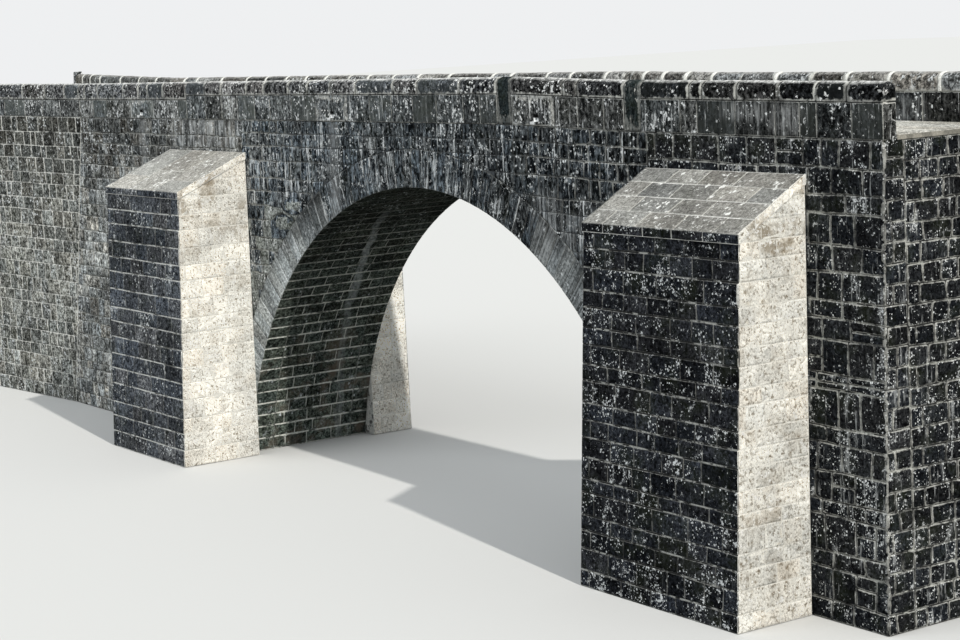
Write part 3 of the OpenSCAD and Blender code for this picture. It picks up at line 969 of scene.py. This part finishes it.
def far_coping_granite():
    # The pale upper faces are a painted highlight
    return granite(
        "far_coping_granite", (0.035, 0.035, 0.034), (0.26, 0.26, 0.25), flecks=0.8, lichen=0.8,
        top_highlight=(0.46, 0.45, 0.43), tones=0.9
    )


def upright_granite():
    dark, mid = (0.008, 0.011, 0.011), (0.030, 0.037, 0.037)
    return granite("upright_granite", dark, mid, PALE, flecks=0.2, lichen=0.1, streaks=0.2)


def road_granite():
    return granite(
        "road_granite", (0.36, 0.35, 0.32), (0.66, 0.645, 0.595), PALE, warm=0.15, streaks=0.0, flecks=0.1,
        lichen=0.1, tones=0.3, patches=0.2
    )


def rubble():
    dark, mid = (0.10, 0.09, 0.07), (0.36, 0.33, 0.28)
    return granite("rubble", dark, mid, PALE, streaks=0.0, flecks=0.2, lichen=0.0)


# Walls

# Left of GREEN_END and below GREEN_TOP, half the stones of the near spandrel are greenish like the boulders
GREEN_END, GREEN_TOP = 0.9, 6.0


def toward_arch(normal, centre):
    """True for the faces that close the arch's opening."""
    inward = normal.x * (ARCH_X - centre.x) + normal.z * (ARCH_Z - centre.z)
    return abs(normal.y) < 0.5 and inward > 0.5 and centre.z > 0.02


def to_wall_line(u, v):
    """The height of a bed, stretched so that the top one follows the wall's top."""
    return v * level(WALL_LINE, u) / WALL_H


def end_stones(m, x, outward, y0, y1, top, work, region=None):
    """Stones of a plain end face."""
    stones = coursed(y0, y1, even_levels(0, top, COURSE), (0.35, 0.65), m.rng, 0.012)
    m.lay(stones, end_face(x, outward), work, 1, region)


def straight_wall(node, side, lengths, work, materials, hidden, split=0.0, step=COURSE, boulders=()):
    """A wall between the bend and the right end, with its end face if it reaches the right end."""
    m = Masonry(node)
    x0, x1 = m.low.x, m.high.x
    m.mortar(lambda n, c: n.y * side > 0.5 or (n.x > 0.5 and at_right_end(c.x)), work.sink)
    region = [(x0, 0), (x1, 0), (x1, WALL_H), (max(x0, BEND), WALL_H)]
    beds = uneven_levels(0, WALL_H, step, 0.5, m.rng)
    stones = list(coursed(x0, x1, beds, lengths, m.rng, 0.022, split))
    rounds = [(ARCH_X, ARCH_Z, OUTER_R, OUTER_R), *boulders]
    green = [
        o for o in stones if boulders and o[0][0] < GREEN_END and o[0][1] < GREEN_TOP and m.rng.random() < 0.5
    ]
    for group, material in ((green, 2), ([o for o in stones if o not in green], 1)):
        m.lay(group, wall_face(side), work, material, region, hidden, rounds, to_wall_line)
    for boulder in boulders:
        m.stone(egg(*boulder, m.rng), wall_face(side), BOULDER, 2)
    if at_right_end(x1):
        y0, y1, top = m.low.y, m.high.y, m.high.z
        end_stones(m, RIGHT, 1, y0, y1, top, work, [(y0, 0), (y1, 0), (y1, top), (max(y0, NEAR_Y), top)])
    m.piece("wall_ashlar", materials)


def egg(x, z, half_width, half_height, rng):
    """Outline of a boulder: a soft rectangle with uneven sides."""
    outline = []
    for i in range(20):
        t = 2 * math.pi * i / 20
        c, s = math.cos(t), math.sin(t)
        r = (abs(c) ** 3 + abs(s) ** 3) ** (-1 / 3) * rng.uniform(0.93, 1.0)
        outline.append((x + half_width * r * c, z + half_height * r * s))
    return outline


def wing_wall(node, side, work, materials):
    m = Masonry(node)
    m.mortar(lambda n, c: n.y * side > 0.5 or n.x < -0.5, work.sink)
    skew = WALL_LEAN / math.tan(FLARE[NEAR]) * WALL_H if side == NEAR else 0
    region = [(LEFT, 0), (BEND - skew, 0), (BEND, WALL_H), (LEFT, level(WALL_LINE, LEFT))]
    beds = uneven_levels(0, WALL_H, WING_COURSE, 0.25, m.rng)
    stones = coursed(LEFT, BEND, beds, (0.28, 0.68), m.rng, 0.010)
    m.lay(stones, flared(side, FLARE[side]), work, 1, region, warp=to_wall_line)
    y0 = m.low.y if side == NEAR else m.high.y - WALL_T
    y1, top = y0 + WALL_T, m.high.z
    end_stones(m, LEFT, -1, y0, y1, top, work, [(y0, 0), (y1, 0), (y1, top), (y0, top)])
    m.piece("wing_ashlar", materials)


def end_wall(node, outward, work, materials):
    m = Masonry(node)
    m.mortar(lambda n, c: n.x * outward > 0.5, work.sink)
    x = RIGHT if outward > 0 else LEFT
    end_stones(m, x, outward, m.low.y, m.high.y, level(WALL_LINE, x), work)
    m.piece("wall_ashlar", materials)


# Arch

# Angles round the arch between which its stones are dark
CROWN_START, CROWN_END = 1.10, 2.08


def voussoir_angles():
    """Angles of the joints between the arch stones, from the right foot to the left."""
    foot = math.asin(-ARCH_Z / INNER_R)
    count = round((math.pi - 2 * foot) * INNER_R / VOUSSOIR)
    return [foot + (math.pi - 2 * foot) * i / count for i in range(count + 1)]


def ring(node, side, materials):
    """The long stones of one arch ring, and the dark ones of the vault's edge under them."""
    m = Masonry(node)
    m.mortar(
        lambda n, c: n.y * side > 0.5 or toward_arch(n, c), SMOOTH.sink, lambda n: 4 if abs(n.y) < 0.5 else 0
    )
    angles = voussoir_angles()
    spread = angles[0] - math.asin(-ARCH_Z / OUTER_R)
    for i, (a, b) in enumerate(zip(angles, angles[1:])):
        s0, s1 = a * INNER_R, b * INNER_R
        out0 = s0 - spread * INNER_R if i == 0 else s0
        out1 = s1 + spread * INNER_R if i == len(angles) - 2 else s1
        face = [(s0, 0), (s1, 0), (out1, RING_DEPTH), (out0, RING_DEPTH)]
        at_crown = CROWN_START < (a + b) / 2 + m.rng.uniform(-0.05, 0.05) < CROWN_END
        m.stone(rounded(face, SMOOTH.corner, m.rng), ring_face(side), SMOOTH, 3 if at_crown else 1)
        front = wall_y(side, ARCH_Z + INNER_R * math.sin((a + b) / 2), 0)
        y0, y1 = sorted((front, FACE_Y[side] - side * WALL_T))
        under = [(y0, s0), (y1, s0), (y1, s1), (y0, s1)]
        m.stone(rounded(under, VAULT.corner, m.rng), intrados, VAULT, 2)
    m.piece("arch_stone", materials)


def barrel(node, materials):
    m = Masonry(node)
    m.mortar(toward_arch, VAULT.sink)
    joints = [a * INNER_R for a in voussoir_angles()]
    m.lay(coursed(m.low.y, m.high.y, joints, (0.4, 0.8), m.rng), intrados, VAULT, 1)
    m.piece("barrel_stone", materials)


# Buttresses


def buttress(name, side, lean, step, materials):
    """lean is the run of the arch side over the buttress's height, and step the height of its courses."""
    cap_low, cap_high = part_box(name + "_cap")
    m = Masonry(name + "_buttress")
    # The +X faces take the cream mortar, partly painted sunlight
    m.mortar(lambda n, c: n.y * side > 0.5 or abs(n.x) > 0.5, FLUSH.sink, lambda n: 3 if n.x > 0.5 else 0)
    wall = FACE_Y[side]
    tip = (wall - cap_low.y if side == NEAR else cap_high.y - wall) - CAP_LIP
    foot = wall - m.low.y if side == NEAR else m.high.y - wall
    back_h, front_h = cap_high.z - CAP_T, CAP_FRONT_H - CAP_T
    x0, x1 = cap_low.x + CAP_LIP, cap_high.x - CAP_LIP

    def front(x, z, w):
        return np.stack([x, wall + side * (foot + (tip - foot) * z / front_h + w), z], 1)

    def flank(x, outward, run):
        return lambda y, z, w: np.stack([x - run * (cap_high.z - z) + outward * w, y, z], 1)

    foot_x0, top_x0 = x0 - lean * cap_high.z, x0 - lean * (cap_high.z - front_h)
    region = [(foot_x0, 0), (x1, 0), (x1, front_h), (top_x0, front_h)]
    beds = uneven_levels(0, front_h, step, 0.3, m.rng)
    m.lay(coursed(foot_x0, x1, beds, (0.45, 1.0), m.rng, 0.008), front, STRONG_BEDS, 1, region)
    profile = [
        (wall + side * foot, 0), (wall_y(side, 0, 0), 0), (wall_y(side, back_h, 0), back_h),
        (wall + side * tip, front_h)
    ][::-side]
    ys = [p[0] for p in profile]
    beds = beds + [beds[-1] + (i + 1) * step for i in range(3)]
    # The +X flank takes the cream stone, partly painted sunlight; the -X flank the dark front stone, partly
    # painted shade
    for x, outward, run, material in ((x1, 1, 0, 2), (x0, -1, lean, 1)):
        stones = coursed(min(ys), max(ys), beds, (0.35, 0.7), m.rng, 0.006)
        m.lay(stones, flank(x, outward, run), FLUSH, material, profile)
    m.piece("buttress_ashlar", materials)


def cap(node, side, rows, lengths, upslope, materials):
    """Sloping slabs. upslope is true where the long slabs run up the slope."""
    m = Masonry(node)
    low, high = m.low, m.high
    m.mortar(lambda n, c: n.z > 0.5 or n.y * side > 0.9 or abs(n.x) > 0.5, CAP_WORK.sink)
    tip_y, tip_z = low.y if side == NEAR else high.y, low.z + CAP_T
    back_y = wall_y(side, high.z, 0)
    run, rise = abs(back_y - tip_y), high.z - tip_z
    length = math.hypot(run, rise)

    def top(x, t, w):
        y = tip_y - side * (t * run / length) + side * w * rise / length
        return np.stack([x, y, tip_z + t * rise / length + w * run / length], 1)

    def front(x, z, w):
        return np.stack([x, np.full(len(x), tip_y) + side * w, z], 1)

    if upslope:
        levels = even_levels(low.x, high.x, (high.x - low.x) / rows)
        stones = [[(v, u) for u, v in o][::-1] for o in coursed(0, length, levels, lengths, m.rng, 0.006)]
    else:
        stones = coursed(low.x, high.x, even_levels(0, length, length / rows), lengths, m.rng, 0.008)
    m.lay(stones, top, CAP_WORK, 1)
    m.lay(coursed(low.x, high.x, [tip_z - CAP_T, tip_z], (0.7, 1.2), m.rng), front, CAP_WORK, 2)
    marks = even_levels(0, 1, 1 / rows)
    # The +X end takes the cream stone, partly painted sunlight; the -X end the dark front stone, partly
    # painted shade
    for x, outward, material in ((high.x, 1, 3), (low.x, -1, 2)):
        for a, b in zip(marks, marks[1:]):
            ya, yb = (tip_y + (back_y - tip_y) * t for t in (a, b))
            za, zb = (tip_z + rise * t for t in (a, b))
            outline = [(ya, za - CAP_T), (yb, zb - CAP_T), (yb, zb), (ya, za)][::-side]
            m.stone(rounded(outline, 0.012, m.rng), end_face(x, outward), FLUSH, material)
    m.piece("cap_slab", materials)


# Parapets and road

# The rounded top of a coping stone: parts of its arc, and the way between its rings of points
ARC_PARTS = 12
COPING_RINGS = 0.09
# How far the mortar lies inside the coping, and the length of the guard stone before it
COPING_SINK = 0.026
GUARD_STONE = 0.34


def parapet_faces(side, wing):
    """The outer and the inner face of a parapet, as plans in X and Z."""
    angle = FLARE[side] if wing else 0
    outer = flared(side, angle)

    def inner(x, z, w):
        points = outer(x, z, -w)
        points[:, 1] -= side * PARAPET_T / math.cos(angle)
        return points

    return outer, inner


def parapet_marks(low, high, joints, shortest):
    """The two ends of a stretch of parapet and the joints between them."""
    return [low] + [x for x in joints if low + shortest < x < high - shortest] + [high]


def slabs(node, side, line, height, joints, materials):
    m = Masonry(node)
    m.mortar(lambda n, c: abs(n.y) > 0.5 or (n.x > 0.5 and at_right_end(c.x)), SLABS.sink)
    holes = [(x, level(WALL_LINE, x) + ROAD_T + DRAIN / 2, DRAIN / 2 - 0.005) for x in DRAINS[side]]
    marks = parapet_marks(m.low.x, m.high.x, joints, 0.25)
    for a, b in zip(marks, marks[1:]):
        m.rng.random()  # a spare draw, so that the stones after it keep their shapes
        outline = [
            (a, level(WALL_LINE, a)), (b, level(WALL_LINE, b)),
            (b, level(line, b) + height), (a, level(line, a) + height)
        ]
        for face in parapet_faces(side, m.high.x < BEND + 0.01):
            m.lay([outline], face, SLABS, 1, holes=holes)
    if at_right_end(m.high.x):
        y = NEAR_Y if side == NEAR else FAR_Y - PARAPET_T
        base, top = level(WALL_LINE, RIGHT), level(line, RIGHT) + height
        outline = [(y, base), (y + PARAPET_T, base), (y + PARAPET_T, top), (y, top)]
        m.lay([outline], end_face(RIGHT, 1), SLABS, 1)
    m.piece("parapet_slab", materials)


def coping_section(low, high, half):
    """Section of a coping stone with a rounded top, as points in Y and Z."""
    round_r = (half * half + COPING_ROUND * COPING_ROUND) / (2 * COPING_ROUND)
    spread = math.asin(half / round_r)
    edges = [low + (high - COPING_ROUND - low) * t for t in (0.06, 0.5)]
    turns = [spread * (1 - 2 * i / ARC_PARTS) for i in range(ARC_PARTS + 1)]
    arc = [(round_r * math.sin(t), high - round_r + round_r * math.cos(t)) for t in turns]
    right = [(half, low)] + [(half, z) for z in edges]
    left = [(-half, z) for z in reversed(edges)] + [(-half, low)]
    return np.array(right + arc + left)


def laid_along(m, x0, x1, side, line, section, material, inset=0.006, wear=0.007, end=0.03, joined=(1, 1)):
    """One stone of the coping between two joints, worn towards its ends."""
    count = max(2, round((x1 - x0 - 2 * end) / COPING_RINGS))
    inner = [x0 + end + (x1 - x0 - 2 * end) * i / count for i in range(count + 1)]
    xs = [x0, x0 + 0.35 * end, *inner, x1 - 0.35 * end, x1]
    shrink = [5 * inset, 2.5 * inset] + [inset] * (count + 1) + [2.5 * inset, 5 * inset]
    middle = FACE_Y[side] - side * PARAPET_T / 2
    outwards = section - (section.min(0) + section.max(0)) / 2
    outwards /= np.linalg.norm(outwards, axis=1)[:, None]
    phase, sway, _ = (m.rng.uniform(0, 6) for _ in range(3))
    n, rings = len(section), len(xs)
    swells = [phase + 1.4 * math.sin(i * 0.7 + sway) for i in range(n)]
    points = []
    for x, s in zip(xs, shrink):
        worn = [0.5 + 0.5 * math.sin(4.2 * x + swell) + m.rng.random() for swell in swells]
        ring = section - outwards * (s + wear * np.array(worn))[:, None]
        ring[:, 1] = np.maximum(ring[:, 1], section[0, 1] + 0.002)
        y = middle + side * math.tan(FLARE[side]) * max(0, BEND - x) + ring[:, 0]
        points += list(np.stack([np.full(n, x), y, level(line, x) + ring[:, 1]], 1))
    low_edge = (0, 1, n - 2, n - 1)
    ends = [joined[0] if r < 3 else joined[1] if r > rings - 4 else 0 for r in range(rings)]
    edge = [1.0 if ends[r] or i in low_edge else 0.0 for r in range(rings) for i in range(n)]
    faces = [tuple(range(n))[::-1], tuple((rings - 1) * n + i for i in range(n))]
    m.add(points, faces + tube(rings, n), material, edge)


def coping(node, side, line, low_h, joints, gap, materials, band=None):
    """Rounded coping stones. band is the material number of mortar that fills the joints to the brim."""
    m = Masonry(node)
    m.mortar(lambda n, c: n.z > -0.5 and (abs(n.x) < 0.5 or at_right_end(abs(c.x))), COPING_SINK)
    section = coping_section(low_h, PARAPET_H, PARAPET_T / 2 + COPING_LIP)
    x0, x1 = m.low.x, m.high.x
    if x1 < BEND + 0.1:
        x0, x1 = max(x0, LEFT + GUARD_STONE), min(x1, BEND)
    marks = parapet_marks(x0, x1, joints, 0.3)
    for a, b in zip(marks, marks[1:]):
        gap_a, gap_b = (gap * m.rng.uniform(0.6, 1.4) if x not in (x0, x1) else 0.004 for x in (a, b))
        joined = (a > LEFT + 0.4, b < RIGHT - 0.1)
        laid_along(m, a + gap_a, b - gap_b, side, line, section, 1, joined=joined)
        if band is not None and b != x1:
            laid_along(m, b - gap_b - 0.01, b + gap + 0.01, side, line, section, band, 0.004, 0.006, 0.012)
    m.piece("coping_stone", materials)


def upright_stone(node, materials):
    m = Masonry(node)
    section = coping_section(0.0, PARAPET_H, PARAPET_T / 2)
    laid_along(m, m.low.x + 0.008, m.high.x - 0.008, NEAR, WALL_LINE, section, 0, 0.004, 0.006)
    m.piece("coping_stone", materials)


def from_lowest(corners):
    """The corners of a face, the lowest number first."""
    start = corners.index(min(corners))
    return corners[start:] + corners[:start]


def worn_blocks(node, edge, wear, materials):
    """The CAD node's blocks with worn edges and faces."""
    rng = random.Random(node)
    shape = cad_shape(node)
    bmesh.ops.dissolve_limit(shape, angle_limit=0.02, verts=shape.verts, edges=shape.edges)
    bmesh.ops.bevel(shape, geom=shape.edges[:], offset=edge, segments=2, affect="EDGES", profile=0.5)
    bmesh.ops.triangulate(shape, faces=shape.faces)
    for _ in range(3):
        long_edges = [e for e in shape.edges if e.calc_length() > 8 * edge]
        bmesh.ops.subdivide_edges(shape, edges=long_edges, cuts=1)
        bmesh.ops.triangulate(shape, faces=shape.faces)
    shape.normal_update()
    for v in shape.verts:
        v.co -= v.normal * (wear * rng.random())
    shape.verts.index_update()
    faces = [[v.index for v in f.verts] for f in shape.faces]
    mesh = bpy.data.meshes.new(node + "_stones")
    # Sorted, because Blender lists the faces it has cut in another order in each run
    mesh.from_pydata([v.co for v in shape.verts], [], sorted(from_lowest(f) for f in faces))
    shape.free()
    mesh.polygons.foreach_set("use_smooth", [True] * len(mesh.polygons))
    stand_in(mesh, node, materials, [0.5] * 4 * len(mesh.vertices))


def road(node, materials):
    m = Masonry(node)
    m.mortar(lambda n, c: n.z > 0.5, ASHLAR.sink)
    near, far = NEAR_Y + PARAPET_T, FAR_Y - PARAPET_T
    row = (far - near) / 5
    levels = [near + row * k for k in range(-2, 8)]
    run_near, run_far = ((BEND - LEFT) * math.tan(FLARE[side]) for side in (NEAR, FAR))
    wing = [(LEFT, near - run_near), (BEND, near), (BEND, far), (LEFT, far + run_far)]
    straight = [(BEND, near), (RIGHT, near), (RIGHT, far), (BEND, far)]

    def place(x, y, w):
        return np.stack([x, y, level(WALL_LINE, x) + ROAD_T + w], 1)

    for x0, x1, region in ((LEFT, BEND, wing), (BEND, RIGHT, straight)):
        m.lay(coursed(x0, x1, levels, (0.5, 1.0), m.rng), place, ASHLAR, 1, region)
    m.piece("road_slab", materials)


def give_material(node, material):
    """Gives a CAD node that stays in view its material."""
    mesh = frame["nodes"][node].data
    if not mesh.materials:
        mesh.materials.append(material)
    for i in range(len(mesh.materials)):
        mesh.materials[i] = material


# The bridge


def build_walls():
    joint = mortar("wall_mortar", (0.60, 0.61, 0.57), (0.04, 0.04, 0.04), 0.5, over_arch, (0.10, 0.11, 0.12))
    left, right = [joint, left_wall_granite()], [joint, right_wall_granite()]
    middle = [joint, streaked_granite("spandrel_granite", smear=0.55, calm=over_arch), boulder_granite()]
    wing = [mortar("wing_mortar", (0.90, 0.89, 0.83), (0.16, 0.16, 0.145), 0.75), wing_granite()]
    b_low, b_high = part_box("near_left_buttress")
    c_low, c_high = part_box("near_right_buttress")
    hidden = [(b_low.x, b_high.x, -0.1, b_high.z), (c_low.x + 0.15, c_high.x, -0.1, c_high.z)]
    for side, name in SIDES:
        boulders = BOULDERS if side == NEAR else ()
        straight_wall(name + "_left_wall", side, (0.3, 0.6), ROUGH, left, hidden)
        straight_wall(name + "_spandrel_wall", side, (0.3, 0.65), CLOSE, middle, hidden, boulders=boulders)
        straight_wall(name + "_right_wall", side, (0.4, 0.8), ROUGH, right, hidden, 0.12, 0.43)
    for side, name in SIDES:
        wing_wall(name + "_wing_wall", side, BLOCKS, wing)
    end_wall("left_end_wall", -1, BLOCKS, wing)
    end_wall("right_end_wall", 1, ROUGH, right)


def build_arch():
    joint = mortar("arch_mortar", (0.20, 0.21, 0.205), (0.06, 0.062, 0.062), 0.4)
    bed = mortar("barrel_mortar", (0.92, 0.93, 0.87), (0.10, 0.11, 0.10), 0.74, vault_share)
    crown = streaked_granite("crown_granite", tones=0.25, smear=0.1, radial=True)
    stone, dark = voussoir_granite(), barrel_granite()
    for side, name in SIDES:
        ring(name + "_arch_ring", side, [joint, stone, dark, crown, bed])
    barrel("arch_barrel", [bed, dark])


def build_buttresses():
    white = mortar("white_mortar", (0.95, 0.95, 0.91), (0.18, 0.18, 0.17), 0.70)
    joint = mortar("black_mortar", (0.56, 0.56, 0.53), (0.035, 0.035, 0.035), 0.5)
    # Cream stone and mortar for the +X sides, partly painted sunlight; the dark stones of the fronts and -X
    # sides are partly painted shade
    bright = mortar("sunlit_cream_mortar", (0.95, 0.93, 0.86), (0.74, 0.70, 0.61), 0.9)
    blue, black, cream = blue_black_granite(), black_granite(), sunlit_cream_granite()
    for side, name in SIDES:
        lean = 0.02 if side == NEAR else 0.0
        buttress(name + "_left", side, 0.0, 0.39, [white, blue, cream, bright])
        buttress(name + "_right", side, lean, 0.33, [joint, black, cream, bright])
    top_set = [mortar("cap_mortar", (0.95, 0.94, 0.90), (0.60, 0.60, 0.57), 0.9), cap_granite()]
    for side, name in SIDES:
        rows = 4 if side == NEAR else 3
        cap(name + "_left_cap", side, 3, (0.9, 1.2), True, [*top_set, blue, cream])
        cap(name + "_right_cap", side, rows, (0.8, 1.1), False, [*top_set, black, cream])


def build_parapets():
    joint = mortar("parapet_mortar", (0.66, 0.66, 0.62), (0.05, 0.05, 0.05), 0.40)
    white = mortar("coping_mortar", (0.95, 0.95, 0.90), (0.62, 0.62, 0.58), 0.9)
    slab, dark, grey, plain = parapet_granite(), coping_granite(), far_coping_granite(), upright_granite()
    low_h, high_h = 0.48, 0.59
    near = [("wing", low_h), ("left", low_h), ("middle", high_h), ("slope", high_h), ("right", high_h)]
    for part, h in near:
        slabs(f"near_{part}_slabs", NEAR, WALL_LINE, h, NEAR_SLAB_JOINTS, [joint, slab])
        coping(f"near_{part}_coping", NEAR, WALL_LINE, h, NEAR_COPING_JOINTS, 0.010, [joint, dark])
    for part in ("wing", "middle", "right"):
        slabs(f"far_{part}_slabs", FAR, FAR_LINE, high_h, FAR_SLAB_JOINTS, [joint, slab])
    for part in ("wing", "middle", "slope", "right"):
        coping(f"far_{part}_coping", FAR, FAR_LINE, high_h, FAR_COPING_JOINTS, 0.032, [white, grey], 0)
    for place in ("crown", "buttress"):
        upright_stone(place + "_upright_stone", [plain])
    worn_blocks("left_end_stones", 0.025, 0.008, [dark])
    worn_blocks("drain_lips", 0.008, 0.004, [slab])


def build_road():
    """The road's slabs, and the rubble that fills the bridge under them."""
    road("road_slabs", [mortar("road_mortar", (0.40, 0.38, 0.33), (0.25, 0.24, 0.21)), road_granite()])
    fill = rubble()
    for node in ("left_fill", "right_fill"):
        give_material(node, fill)


# Light, floor and camera


def two_colours(tree, kind, end, seen, cast):
    """Makes a tree that shows one colour to the camera and lights with another, whose node it gives back."""
    tree.nodes.clear()
    shown, lit = (tree.nodes.new("ShaderNode" + kind) for _ in range(2))
    shown.inputs[0].default_value = (*seen, 1)
    lit.inputs[0].default_value = (*cast, 1)
    pick, path = tree.nodes.new("ShaderNodeMixShader"), tree.nodes.new("ShaderNodeLightPath")
    tree.links.new(path.outputs["Is Camera Ray"], pick.inputs[0])
    tree.links.new(lit.outputs[0], pick.inputs[1])
    tree.links.new(shown.outputs[0], pick.inputs[2])
    tree.links.new(pick.outputs[0], tree.nodes.new("ShaderNodeOutput" + end).inputs[0])
    return lit


def floor():
    """A wide pale floor, a centimetre under the bridge."""
    mesh = bpy.data.meshes.new("floor")
    half, z = 400, -0.01
    corners = [(-half, -half, z), (half, -half, z), (half, half, z), (-half, half, z)]
    mesh.from_pydata(corners, [], [(0, 1, 2, 3)])
    plane = linked("floor", mesh)
    material = bpy.data.materials.new("floor")
    material.use_nodes = True
    seen, cast = (0.74, 0.74, 0.73), (0.16, 0.16, 0.15)
    two_colours(material.node_tree, "BsdfDiffuse", "Material", seen, cast)
    mesh.materials.append(material)


def world():
    sky = bpy.data.worlds.new("world")
    bpy.context.scene.world = sky
    sky.use_nodes = True
    seen, cast = (0.86, 0.87, 0.88), (0.94, 0.98, 1.0)
    lit = two_colours(sky.node_tree, "Background", "World", seen, cast)
    lit.inputs["Strength"].default_value = 0.58


def lamp(name, toward, strength, colour, angle):
    """A distant lamp that stands in the given direction."""
    light = bpy.data.lights.new(name, "SUN")
    light.energy, light.color, light.angle = strength, colour, math.radians(angle)
    linked(name, light).rotation_euler = Vector(toward).to_track_quat("Z", "Y").to_euler()


def camera():
    """The place and lens that the photograph was taken with, as fitted."""
    yaw, pitch, roll = (math.radians(a) for a in (56.60, 7.85, -3.04))
    ahead = Vector((-math.sin(yaw) * math.cos(pitch), math.cos(yaw) * math.cos(pitch), -math.sin(pitch)))
    right = Vector((math.cos(yaw), math.sin(yaw), 0))
    up = right.cross(ahead)
    side = math.cos(roll) * right + math.sin(roll) * up
    top = math.cos(roll) * up - math.sin(roll) * right
    data = bpy.data.cameras.new("camera")
    data.lens, data.sensor_width = 80.4, 36.0
    spot = Matrix((side, top, -ahead)).transposed().to_4x4()
    spot.translation = (43.80, -24.62, 10.01)
    holder = linked("camera", data)
    holder.matrix_world = spot
    bpy.context.scene.camera = holder


build_walls()
build_arch()
build_buttresses()
build_parapets()
build_road()
floor()
world()
lamp("sun", (0.80, -0.08, 0.60), 2.4, (1.0, 0.97, 0.91), 1.0)
lamp("sky_glow", (-0.2, -0.75, 0.65), 0.7, (0.93, 0.97, 1.0), 40.0)
camera()
bpy.context.scene.view_settings.view_transform = "Standard"
